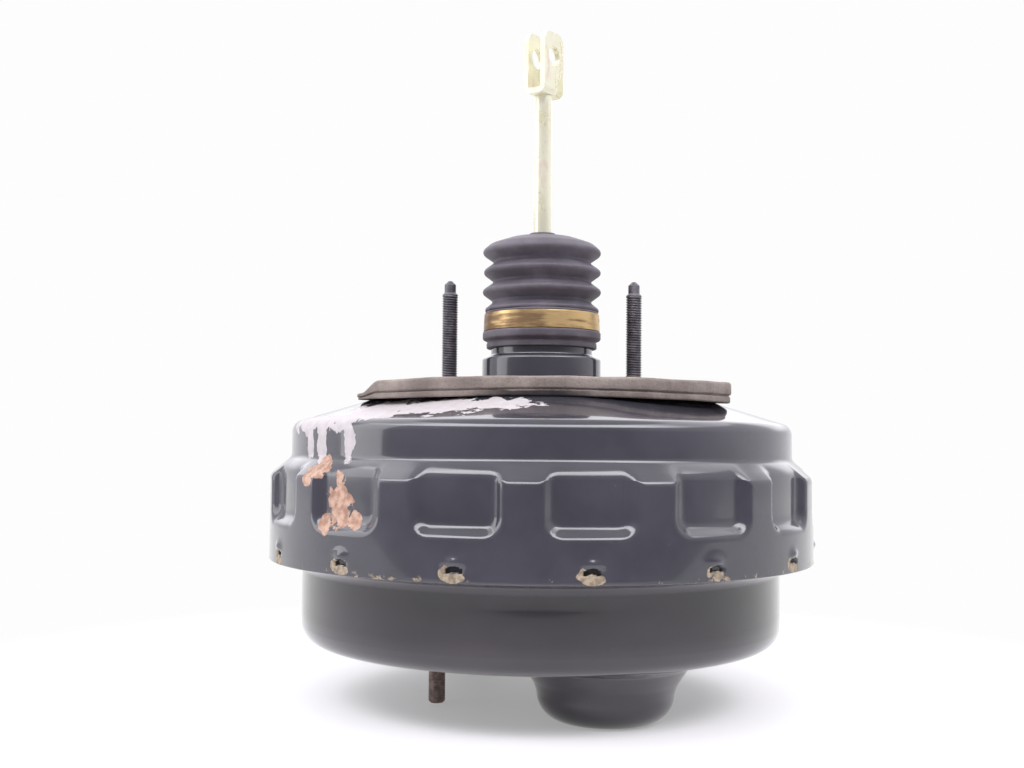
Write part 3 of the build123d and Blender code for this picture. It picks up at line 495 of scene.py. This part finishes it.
def yellow_zinc():
    """Yellow-passivated zinc plate: pale straw, with faint green and pink shifts and stains."""
    film, stain, blister, blister_depth = 12, 1.6, 1.2, 0.02
    material, tree, shader, place = new_material("yellow_zinc")
    shift = grain(tree, place, film, 4, 0.6, (1, 1, 0.35))
    share = node(tree, "MapRange", shift, 0.3, 0.55, **SOFT)
    warm = node(tree, "Mix", {0: share, 6: colour("#e2dcb4"), 7: colour("#efedd6")}, **BLEND)
    share = node(tree, "MapRange", shift, 0.56, 0.7, **SOFT)
    tone = node(tree, "Mix", {0: share, 6: warm, 7: colour("#e6cfc0")}, **BLEND)
    stains = node(tree, "MapRange", grain(tree, place, stain, 5), 0.62, 0.75, 0, 0.5, **SOFT)
    blisters = {"Height": grain(tree, place, blister, 5), "Distance": blister_depth * MM}
    set_shader(
        tree, shader, Normal=node(tree, "Bump", blisters), Metallic=0.45,
        Base_Color=node(tree, "Mix", {0: stains, 6: tone, 7: colour("#a3946a")}, **BLEND),
        Roughness=node(tree, "MapRange", shift, 0.3, 0.7, 0.24, 0.36, **SOFT),
    )
    return material


def stud_steel():
    """Phosphated screw steel: dark blue-grey and satin, with paler stains."""
    stain, crystal, crystal_depth = 4, 0.6, 0.02
    material, tree, shader, place = new_material("stud_steel")
    stains = grain(tree, place, stain, 5, 0.6)
    share = node(tree, "MapRange", stains, 0.4, 0.7, **SOFT)
    inputs = {0: share, 6: colour("#5d5b63"), 7: colour("#7f7a80")}
    crystals = {"Height": grain(tree, place, crystal, 4), "Distance": crystal_depth * MM}
    set_shader(
        tree, shader, Base_Color=node(tree, "Mix", inputs, **BLEND), Metallic=0.55,
        Roughness=node(tree, "MapRange", stains, 0.3, 0.7, 0.34, 0.5, **SOFT),
        Normal=node(tree, "Bump", crystals),
    )
    return material


def oxidised_steel():
    """Bare screw steel gone brown: dull, blotched and rough with rust."""
    blotch, rust_depth = 3, 0.08
    material, tree, shader, place = new_material("oxidised_steel")
    blotches = grain(tree, place, blotch, 6, 0.65)
    share = node(tree, "MapRange", blotches, 0.35, 0.65, **SOFT)
    inputs = {0: share, 6: colour("#6b5c58"), 7: colour("#a08c84")}
    crust = {"Height": blotches, "Distance": rust_depth * MM}
    set_shader(
        tree, shader, Base_Color=node(tree, "Mix", inputs, **BLEND),
        Normal=node(tree, "Bump", crust), Metallic=0.4, Roughness=0.6,
    )
    return material


def plain_finish(name, dark, light, roughness, metallic=0.0, spot=6, depth=0.02):
    """Mottled finish for a piece that is mostly hidden."""
    material, tree, shader, place = new_material(name)
    mottle = node(tree, "MapRange", grain(tree, place, spot), 0.3, 0.7, **SOFT)
    inputs = {0: mottle, 6: colour(dark), 7: colour(light)}
    fine = grain(tree, place, spot / 8, 6)
    smooth, rough = roughness * 0.8, roughness * 1.2
    set_shader(
        tree, shader, Base_Color=node(tree, "Mix", inputs, **BLEND), Metallic=metallic,
        Roughness=node(tree, "MapRange", fine, 0.3, 0.7, smooth, rough, **SOFT),
        Normal=node(tree, "Bump", {"Height": fine, "Distance": depth * MM}),
    )
    return material


# ---- Pieces ----------------------------------------------------------------------------------
def skirt_pattern(radius, turn, height):
    """Presses the pockets into the skirt, cuts the slots and raises a bump above each slot."""
    from_middle = (turn - POCKET_TURN + POCKET_STEP / 2) % POCKET_STEP - POCKET_STEP / 2
    across = np.abs(from_middle) * SKIRT_R
    on_skirt = radius > UPPER_R + 1.2
    inner = (radius < SKIRT_R - 0.9 * SHEET) & on_skirt & (height < SKIRT_TOP_Z)
    sheet = np.where(inner, SHEET, 0)
    side = across - (POCKET_HALF - POCKET_CORNER)
    below = (POCKET_FLOOR_Z + POCKET_CORNER) - height
    outside = np.hypot(np.maximum(side, 0), np.maximum(below, 0)) - POCKET_CORNER
    outside = outside + np.minimum(np.maximum(side, below), 0)
    rise = POCKET_BEND * np.logaddexp(0, outside / POCKET_BEND) * POCKET_DEPTH / POCKET_LEAN
    floor = SKIRT_R - POCKET_DEPTH + rise
    pressed = np.where(on_skirt, soft_min(radius + sheet, floor, POCKET_RIM) - sheet, radius)
    above_slot = ((height - SLOT_Z - BUMP_ABOVE) / BUMP_HALF_HEIGHT) ** 2
    bump = BUMP_RISE * np.exp(-((across / BUMP_HALF) ** 2) - above_slot)
    sag = SLOT_SAG * (across / SLOT_HALF) ** 2
    gap = (across < SLOT_HALF + 0.1) & (np.abs(height - SLOT_Z + sag) < SLOT_HALF_HEIGHT)
    outer = (radius > SKIRT_R - 0.4) & (height < POCKET_FLOOR_Z)
    return np.where(outer, pressed + bump - SLOT_DEPTH * gap, pressed), height


def make_rear_shell(paint):
    """Rear shell in two pieces: the pressing with its pockets, and the neck."""
    inner_r, upper_r = SKIRT_R - SHEET, UPPER_R - SHEET
    hole_r, neck_rim_r = 58, 60  # the neck's rim overlaps the pressing's hole
    flat_rows, inside_rows, upper_rows, lower_rows, slot_rows = 14, 7, 3, 1.3, 0.6
    columns_per_pocket = 42
    corners = [
        (hole_r, 0, 0), (PAD_R, 0, 12), (UPPER_R, SHOULDER_Z, 5.5), (UPPER_R, LEDGE_Z, 3.5),
        (SKIRT_R, SKIRT_TOP_Z, 3.5), (SKIRT_R, SKIRT_Z, 0.5), (inner_r, SKIRT_Z, 0.5),
        (inner_r, SKIRT_TOP_Z - SHEET, 2), (upper_r, LEDGE_Z - SHEET, 5),
        (upper_r, SHOULDER_Z - SHEET, 3.9), (PAD_R, -SHEET, 10), (hole_r, -SHEET, 0),
    ]

    def spacing(spot):
        """Close rows where the slots and the pockets' ends are, wide ones inside."""
        if spot.x < PAD_R and spot.z < 0:
            return flat_rows
        if spot.x < SKIRT_R - 0.9 * SHEET or spot.z > SKIRT_TOP_Z:
            return inside_rows
        if SLOT_Z - 3 < spot.z < SLOT_Z + 5:
            return slot_rows
        return lower_rows if spot.z < POCKET_FLOOR_Z + 5 else upper_rows

    shape = cut_runs(section(corners, closed=True, segments=7), spacing)
    spin(shape, POCKETS * columns_per_pocket, POCKET_TURN)
    move_points(shape, skirt_pattern)
    finish_piece("rear_shell_pressing", shape, "housing", paint, "black_paint", "rear_shell")
    bore, base_bore = NECK_R - SHEET, NECK_BASE_R - SHEET
    corners = [
        (neck_rim_r, 0, 0), (NECK_BASE_R, 0, 3), (NECK_BASE_R, NECK_STEP_Z, 2),
        (NECK_R, NECK_STEP_Z, 1.5), (NECK_R, NECK_TOP, 0.5), (bore, NECK_TOP, 0.5),
        (bore, NECK_STEP_Z - SHEET, 2), (base_bore, NECK_STEP_Z - SHEET, 0.8),
        (base_bore, -SHEET, 4), (neck_rim_r, -SHEET, 0),
    ]
    neck = spin(cut_runs(section(corners, closed=True), lambda spot: 8), 192)
    finish_piece("rear_shell_neck", neck, "housing", paint, "black_paint", "rear_shell")


def make_front_shell(paint):
    """Front shell in two pieces: the bowl with its cove and recess, and the bulge on its face."""
    inner_r, inner_z = BOWL_R - SHEET, FACE_Z + SHEET
    flange_r, recess_r, recess_z = STEP_R - SHEET, RECESS_R - SHEET, RECESS_Z + SHEET
    corners = [
        (STEP_R, FLANGE_Z, 0), (STEP_R, SHELF_Z, 2.2), (BOWL_R, SHELF_Z - SHEET / 2, 5),
        (BOWL_R, FACE_Z, 9), (RECESS_R, FACE_Z, 2.9), (RECESS_R, RECESS_Z, 1.6),
        (ROD_HOLE_R, RECESS_Z, 0), (ROD_HOLE_R, recess_z, 0), (recess_r, recess_z, 3.2),
        (recess_r, inner_z, 1.3), (inner_r, inner_z, 7.4), (inner_r, SHELF_Z + SHEET / 2, 6.6),
        (flange_r, SHELF_Z + SHEET, 0.6), (flange_r, FLANGE_Z, 0),
    ]
    bowl = spin(cut_runs(section(corners, closed=True, segments=8), lambda spot: 9), 288)
    finish_piece("front_shell_bowl", bowl, "housing", paint, "black_paint", "front_shell")
    flare_r, proud = BULGE_R + 14.5, 0.04
    foot_r, foot_z = BULGE_FOOT_R - SHEET, FLOOR_Z + SHEET
    corners = [
        (flare_r, FACE_Z - proud, 0), (BULGE_R + 7, FACE_Z - 2.5, 5), (BULGE_R, FACE_Z - 13, 14),
        (BULGE_FOOT_R, FLOOR_Z, 12), (0, FLOOR_Z, 0), (0, foot_z, 0), (foot_r, foot_z, 10.4),
        (BULGE_R - SHEET, inner_z, 11.6), (flare_r + SHEET, inner_z, 0),
    ]
    bulge = spin(cut_runs(section(corners, closed=True, segments=12), lambda spot: 7), 160)
    finish_piece(
        "front_shell_bulge", bulge, "housing", paint, "black_paint", "front_shell", at=BULGE_AT
    )


def thread(start, end, full):
    """Change that cuts a rounded vee thread of a full depth between two heights."""

    def change(radius, turn, height):
        wave = (height / PITCH + turn / TURN) % 1.0
        depth = full * smooth_step(np.abs(wave - 0.5) * 2, 0.1, 0.95)
        on_shaft = (radius > 0.95 * STUD_R) & (radius < STUD_R + 0.1)
        inside = (height > start) & (height < end) & on_shaft
        fade = np.clip(np.minimum(height - start, end - height) / PITCH, 0, 1)
        return np.where(inside, radius - depth * fade, radius), height

    return change


def make_stud(name, corners, start, end, full, steel, stands_for, at):
    """Stud with a thread between two heights."""

    def spacing(spot):
        return PITCH / 8 if start < spot.z < end and spot.x > 0.9 * STUD_R else 20

    stud = spin(cut_runs(section(corners, segments=3), spacing), 40)
    move_points(stud, thread(start, end, full))
    finish_piece(name, stud, "housing", steel, "stud_steel", stands_for, at=at)


def make_studs(steel, rusty):
    """Threaded studs of both sides, each with a collar where it is pressed into its shell."""
    pilot_z, pilot_r, tip_r = STUD_TOP - 6, 2.9, 1.0
    groove_r, groove = STUD_R - STUD_RELIEF, 2 * STUD_RELIEF
    head_z = STUD_FOOT + STUD_HEAD
    corners = [
        (0, STUD_FOOT, 0), (STUD_HEAD_R, STUD_FOOT, 0.3), (STUD_HEAD_R, head_z, 0.3),
        (KNURL_R, head_z, 0), (KNURL_R, 0, 0), (groove_r, 0, 0), (groove_r, groove, 0),
        (STUD_R, groove, 0), (STUD_R, pilot_z - 1.1, 0.3), (pilot_r, pilot_z, 0.3),
        (pilot_r, STUD_TOP - 1.9, 0.5), (tip_r, STUD_TOP, 0.3), (0, STUD_TOP, 0),
    ]
    for side, word in ((-1, "left"), (1, "right")):
        make_stud(
            f"bulkhead_stud_{word}", corners, 2, pilot_z - 1.2, THREAD_DEPTH, steel,
            "rear_studs", (side * STUD_X, 0),
        )
    foot, head_z = FRONT_STUD_LOW, FRONT_STUD_TOP - STUD_HEAD
    corners = [
        (0, FRONT_STUD_TOP, 0), (STUD_HEAD_R, FRONT_STUD_TOP, 0.3), (STUD_HEAD_R, head_z, 0.3),
        (KNURL_R, head_z, 0), (KNURL_R, FACE_Z, 0), (groove_r, FACE_Z, 0),
        (groove_r, FACE_Z - groove, 0), (STUD_R, FACE_Z - groove, 0), (STUD_R, foot + 1, 0.4),
        (STUD_R - 1, foot, 0.4), (0, foot, 0),
    ]
    for side, word in ((-1, "left"), (1, "right")):
        reach = side * CYLINDER_STUD_R
        at = (reach * math.cos(CYLINDER_STUD_TURN), reach * math.sin(CYLINDER_STUD_TURN))
        make_stud(
            f"cylinder_stud_{word}", corners, foot + 1.2, FACE_Z - 2, WORN_THREAD_DEPTH, rusty,
            "front_studs", at,
        )


def ring_noise(turn, waves, level):
    """Noise by the angle round the gasket, with about as many waves as asked for."""
    spots = [Vector((math.cos(a) * waves, math.sin(a) * waves, level)) for a in turn]
    return np.array([noise.noise(spot) for spot in spots])


def aged_pad(radius, turn, height):
    """Turns a round pad into the square gasket, warped: thin at its left end, curled up right."""
    hole, corner = NECK_BASE_R + 3.5, 50.0
    flat = GASKET_HALF - corner
    cos_turn, sin_turn = np.abs(np.cos(turn)), np.abs(np.sin(turn))
    side = GASKET_HALF / np.maximum(cos_turn, sin_turn)
    middle = flat * (cos_turn + sin_turn)
    round_side = middle + np.sqrt(np.maximum(middle**2 - (2 * flat**2 - corner**2), 0))
    in_corner = (side * cos_turn > flat) & (side * sin_turn > flat)
    reach = np.where(in_corner, round_side, side)
    right_front = smooth_step(np.cos(turn), 0.55, 0.85) * smooth_step(-np.sin(turn), 0.05, 0.4)
    left_front = smooth_step(-np.cos(turn), 0.8, 0.95) * smooth_step(-np.sin(turn), 0.0, 0.3)
    ragged, torn = 1.5 * ring_noise(turn, 3, 0.5), 0.7 * ring_noise(turn, 14, 2.5)
    reach = reach + ragged + torn + right_front * 4.0 + left_front * 3.0
    wide = hole + (radius - hole) / (GASKET_HALF - hole) * (reach - hole)
    x, y = wide * np.cos(turn), wide * np.sin(turn)
    spots = [Vector((a * 0.04, b * 0.04, c * 0.1)) for a, b, c in zip(x, y, height)]
    lumps = np.array([noise.noise(spot) for spot in spots])
    left = smooth_step(-x, 74, GASKET_HALF - 2)
    right = smooth_step(x, 66, GASKET_HALF) * smooth_step(-y, -20, 30)
    thin = 1 - 0.6 * left - 0.1 * smooth_step(-x, 20, 80)
    thick = height * thin * (1 + 0.12 * right)
    drop = 0.08 * np.maximum(wide - PAD_R, 0) + 0.3 * right
    return wide, thick - drop + (0.8 * lumps + 0.9) * height / GASKET_TOP


def make_gasket(foam):
    """Foam pad of two layers, as wide as the pad that it lies on."""
    hole, foot, seam, top = NECK_BASE_R + 3.5, 0.05, 2.6, GASKET_TOP - 0.8
    corners = [
        (hole, foot, 0), (GASKET_HALF - 0.4, foot, 0.8), (GASKET_HALF - 0.4, seam, 0.6),
        (GASKET_HALF - 1.4, seam + 0.3, 0.3), (GASKET_HALF, seam + 0.8, 0.8),
        (GASKET_HALF, top, 1.2), (hole, top, 0),
    ]
    pad = spin(cut_runs(section(corners, closed=True, segments=4), lambda spot: 2.5), 240)
    move_points(pad, aged_pad)
    piece = finish_piece("foam_gasket", pad, "housing", foam, "foam", "mounting_gasket")


def boot_folds(radius, turn, height):
    """Folds of old rubber are not quite round."""
    wave = 0.25 * np.sin(2 * turn + height * 0.16) + 0.12 * np.sin(5 * turn - height * 0.26)
    return radius + wave * smooth_step(radius, 18, 27), height


def make_boot(rubber, brass):
    """Collar with bead and lip, bellows that the piston folds up, nose on the rod, and band."""
    seat_r, groove_r, bead_r = 25.7, 27.9, 29.9
    corners = [
        (seat_r, BOOT_SHOULDER_Z, 0), (28.5, BOOT_SHOULDER_Z, 1.2), (28.7, 44.6, 0),
        (groove_r, 44.6, 0), (28.6, 35.6, 0), (bead_r, 35.4, 0.9), (bead_r, 31.6, 1.2),
        (27.4, 30.4, 0.5), (groove_r, 29.3, 0.5), (groove_r, BOOT_LIP, 0.6),
        (seat_r, BOOT_LIP, 0),
    ]
    collar = spin(cut_runs(section(corners, closed=True), lambda spot: 2.5), 160)
    finish_piece("boot_collar", collar, "housing", rubber, "rubber", "dust_boot")
    top = BOOT_TOP
    corners = [(BOOT_HOLE_R, top - 2.1, 0.3), (16.5, top - 2.6, 12), (26.4, top - 6.1, 6)]
    for crest in CREST_Z:
        corners += [(CREST_R, crest, 2.0), (ROOT_R, crest - FOLD, 1.3)]
    corners += [(28.6, 47.2, 1.2), (28.6, 45.8, 0.4), (26.2, 45.8, 0.4), (26.0, 47.4, 0.6)]
    for crest in reversed(CREST_Z):
        corners += [(INNER_ROOT_R, crest - FOLD, 0.8), (INNER_CREST_R, crest, 1.0)]
    corners += [(24.5, 78.2, 4), (15.5, 81.2, 8), (BOOT_HOLE_R, 81.6, 0.3)]
    bellows = spin(cut_runs(section(corners, closed=True, segments=7), lambda spot: 2.5), 160)
    move_points(bellows, boot_folds)
    piece = finish_piece("boot_bellows", bellows, "housing", rubber, "rubber", "dust_boot")
    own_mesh(piece)
    grip_r, lip_r, cover_r = 4.6, 6.8, 12.6  # the nose grips the rod and covers the hole
    corners = [
        (grip_r, top - 3, 0.2), (grip_r, top, 0.4), (lip_r, top, 0.6), (6.9, top - 1.6, 1.2),
        (cover_r, top - 2.2, 0), (cover_r, top - 2.3, 0), (7, top - 2.2, 0), (7, top - 3, 0.3),
    ]
    nose = spin(cut_runs(section(corners, closed=True), lambda spot: 2), 96)
    finish_piece("boot_nose", nose, "rod", rubber, "rubber")
    corners = [
        (28.85, BAND_LOW, 0.25), (29.5, BAND_LOW, 0.25), (29.1, BAND_HIGH, 0.25),
        (28.2, BAND_HIGH, 0.25),
    ]
    strip = spin(cut_runs(section(corners, closed=True, segments=3), lambda spot: 2), 160)
    finish_piece("boot_band_strip", strip, "housing", brass, "brass", "boot_band")


def make_rod(zinc):
    """Pedal rod with its ball, its collar and the thinner end inside the clevis."""
    ball_r, rod_r, neck_r, end_r, collar_r = 5.5, 4.5, 3.4, 2.35, 6.3
    neck_top, collar_low, collar_top = 18.2, 40, 41.5
    ball_z = ROD_LOW + ball_r
    arc = [math.radians(degrees) for degrees in range(180, 30, -9)]
    corners = [(ball_r * math.sin(a), ball_z + ball_r * math.cos(a), 0) for a in arc]
    corners += [
        (neck_r, ball_z + 5, 0.3), (neck_r, neck_top, 0.6), (rod_r, neck_top + 1.1, 0.6),
        (rod_r, collar_low, 0.2), (collar_r, collar_low, 0.3), (collar_r, collar_top, 0.3),
        (rod_r, collar_top, 0.2), (rod_r, CLEVIS_LOW, 0.3), (end_r, CLEVIS_LOW, 0),
        (end_r, CLEVIS_LOW + 2.7, 0), (2.9, CLEVIS_LOW + 2.75, 0), (2.4, ROD_TOP, 0.5),
        (0, ROD_TOP, 0),
    ]
    rod = spin(cut_runs(section(corners, segments=3), lambda spot: 10), 64)
    finish_piece("pedal_rod_turned", rod, "rod", zinc, "yellow_zinc", "pedal_rod")


def soften(piece, width):
    """Rounds a CAD piece's sharp edges by a modifier, which leaves its mesh as it is."""
    bevel = piece.modifiers.new("edge", "BEVEL")
    bevel.width = width * MM
    bevel.segments = 2
    bevel.limit_method = "ANGLE"
    bevel.angle_limit = math.radians(40)


def dress_cad(materials):
    """Materials for the CAD pieces that keep their own shape."""
    for name, material in materials.items():
        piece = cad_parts[name]
        piece.data.materials.clear()
        piece.data.materials.append(material)
    soften(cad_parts["clevis"], 0.35)
    soften(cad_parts["check_valve_body"], 0.4)


# ---- Stage -----------------------------------------------------------------------------------
WHITE = "#fdfdfd"


def make_stage():
    """Pale floor that turns to plain white away from the part, and keeps its shadow."""
    half_m, behind_m = 2.4, 1.9
    shape = bmesh.new()
    bmesh.ops.create_grid(shape, x_segments=2, y_segments=2, size=half_m)
    bmesh.ops.translate(shape, vec=(0, behind_m, FLOOR_Z * MM), verts=shape.verts)
    mesh = bpy.data.meshes.new("floor")
    shape.to_mesh(mesh)
    shape.free()
    floor = bpy.data.objects.new("floor", mesh)
    bpy.context.scene.collection.objects.link(floor)
    # Matt white paper, with soft clouds as wide as a hand
    material, tree, shader, place = new_material("floor_paper")
    inputs = {0: grain(tree, place, 200), 6: colour("#f3f1f4"), 7: colour("#f9f8fa")}
    tone = node(tree, "Mix", inputs, **BLEND)
    set_shader(tree, shader, Base_Color=tone, Roughness=0.6, Specular_IOR_Level=0.3)
    reach = node(tree, "VectorMath", place, operation="LENGTH", out="Value")
    share = node(tree, "MapRange", reach, 160, 400, 0.3, 1.0, **SOFT)
    rays = node(tree, "LightPath").node.outputs
    camera, glossy = rays["Is Camera Ray"], rays["Is Glossy Ray"]
    seen = node(tree, "Math", camera, glossy, operation="MAXIMUM")
    share = node(tree, "Math", share, seen, operation="MULTIPLY")
    white = node(tree, "Emission", {"Color": colour(WHITE), "Strength": 1.0})
    blend = node(tree, "MixShader", share, shader.outputs[0], white)
    tree.links.new(blend, tree.nodes["Material Output"].inputs["Surface"])
    mesh.materials.append(material)


def make_world():
    """White surroundings, darker behind the camera, with bright ceiling panels and a window.

    The way to a spot has Z up and Y away from the camera, each from -1 to 1.
    """
    world = bpy.data.worlds.new("studio")
    bpy.context.scene.world = world
    world.use_nodes = True
    tree = world.node_tree
    back = tree.nodes["Background"]
    way = node(tree, "TexCoord", out="Generated")
    _, y, z = node(tree, "SeparateXYZ", way).node.outputs
    height = node(tree, "Math", z, 0.8, y, operation="MULTIPLY_ADD")
    share = node(tree, "MapRange", height, -0.7, 0.25, **SOFT)
    tone = node(tree, "Mix", {0: share, 6: colour("#949297"), 7: colour("#f1f0f4")}, **BLEND)
    camera = node(tree, "LightPath", out="Is Camera Ray")
    seen = node(tree, "Mix", {0: camera, 6: tone, 7: colour(WHITE)}, **BLEND)
    unseen = node(tree, "Math", 1.0, camera, operation="SUBTRACT")
    # Ring of ceiling panels, strongest over the camera
    above = node(tree, "MapRange", z, 0.60, 0.66, **SOFT)
    below = node(tree, "MapRange", z, 0.88, 0.84, **SOFT)
    ring = node(tree, "Math", above, below, operation="MULTIPLY")
    front = node(tree, "MapRange", y, 0.1, -0.5, 1.2, 7.0, **SOFT)
    # Window in the wall behind the part
    behind = node(tree, "MapRange", y, 0.6, 0.75, **SOFT)
    raised = node(tree, "MapRange", z, 0.1, 0.3, **SOFT)
    window = node(tree, "Math", behind, raised, operation="MULTIPLY")
    glow = node(tree, "Math", ring, front, window, operation="MULTIPLY_ADD")
    glow = node(tree, "Math", glow, unseen, operation="MULTIPLY")
    strength = node(tree, "Math", 1.0, glow, operation="ADD")
    set_shader(tree, back, Color=seen, Strength=strength)


def add_light(name, size, power, at, aim):
    """Soft area light at a place in metres, aimed at a point."""
    data = bpy.data.lights.new(name, "AREA")
    data.shape = "RECTANGLE"
    data.size, data.size_y = size
    data.energy = power
    lamp = bpy.data.objects.new(name, data)
    lamp.location = at
    lamp.rotation_euler = (Vector(aim) - Vector(at)).to_track_quat("-Z", "Y").to_euler()
    bpy.context.scene.collection.objects.link(lamp)


def make_camera():
    """Camera level with the shells, turned a little to the left and looking slightly up."""
    distance, height = 0.620, -0.0206  # metres
    pitch, yaw, roll = math.radians(2.76), math.radians(1.37), math.radians(0.5)
    focal_px, width_px = 1224, 1024
    data = bpy.data.cameras.new("camera")
    data.sensor_width = 36
    data.lens = focal_px / width_px * data.sensor_width
    camera = bpy.data.objects.new("camera", data)
    place = Matrix.Translation((0, -distance, height))
    aim = Matrix.Rotation(yaw, 4, "Z") @ Matrix.Rotation(math.radians(90) + pitch, 4, "X")
    camera.matrix_world = place @ aim @ Matrix.Rotation(roll, 4, "Z")
    bpy.context.scene.collection.objects.link(camera)
    bpy.context.scene.camera = camera


def make_all():
    """Every piece, in the order from the outside in."""
    rear_paint = shell_paint("rear_enamel", "#34343c", "#403f48", worn=True)
    front_paint = shell_paint("front_enamel", "#1d1820", "#28212b", worn=False)
    zinc = yellow_zinc()
    make_rear_shell(rear_paint)
    make_front_shell(front_paint)
    make_studs(stud_steel(), oxidised_steel())
    make_gasket(gasket_foam())
    make_boot(boot_rubber(), worn_brass())
    make_rod(zinc)
    # Turned and pressed steel: bright grey, with a slightly blurred shine
    steel = plain_finish("plain_steel", "#8b8d90", "#a9abad", 0.35, metallic=1.0)
    # Oil-hardened wire: almost black, with a metal's shine
    spring = plain_finish("spring_steel", "#3d3f43", "#5a5c60", 0.35, metallic=1.0)
    # Moulded nylon: black and satin
    plastic = plain_finish("black_nylon", "#1b1b1e", "#2a2a2d", 0.42)
    # Pressed phenolic resin: dark brown and satin
    phenolic = plain_finish("phenolic", "#2c1f17", "#3a2a20", 0.5)
    # Needled felt: pale, quite dull and fluffy, so its mottle is fine and deep
    felt = plain_finish("felt", "#8f8a80", "#a8a298", 0.95, spot=2, depth=0.2)
    # Pressed aluminium alloy: pale silver
    alloy = plain_finish("pressed_alloy", "#a8aaac", "#c0c2c4", 0.32, metallic=1.0)
    # Moulded nitrile rubber: black and matt
    seal = plain_finish("seal_rubber", "#222225", "#303034", 0.6)
    finishes = {
        zinc: ["clevis"],
        steel: [
            "rear_stud_pads", "front_stud_plate", "seal_retainer", "output_rod",
            "output_rod_tip", "output_rod_retainer", "control_valve_washer",
            "control_valve_retainer", "spring_seat", "stop_key", "valve_plunger",
        ],
        spring: [
            "check_valve_spring", "diaphragm_clip", "return_spring", "valve_spring",
            "rod_return_spring",
        ],
        plastic: ["neck_bearing", "check_valve_body", "filter_retainer"],
        seal: [
            "neck_seal", "front_seal", "check_valve_grommet", "check_valve_disc", "diaphragm",
            "reaction_disc", "control_valve",
        ],
        alloy: ["diaphragm_plate"],
        phenolic: ["valve_body"],
        felt: ["air_filter", "silencer"],
    }
    dress_cad({name: material for material, names in finishes.items() for name in names})


make_all()
make_stage()
make_world()
make_camera()
add_light("left_soft", (0.5, 0.9), 2.5, (-1.0, -0.15, 0.35), (0, 0, -0.05))

bpy.context.scene.view_settings.view_transform = "Standard"
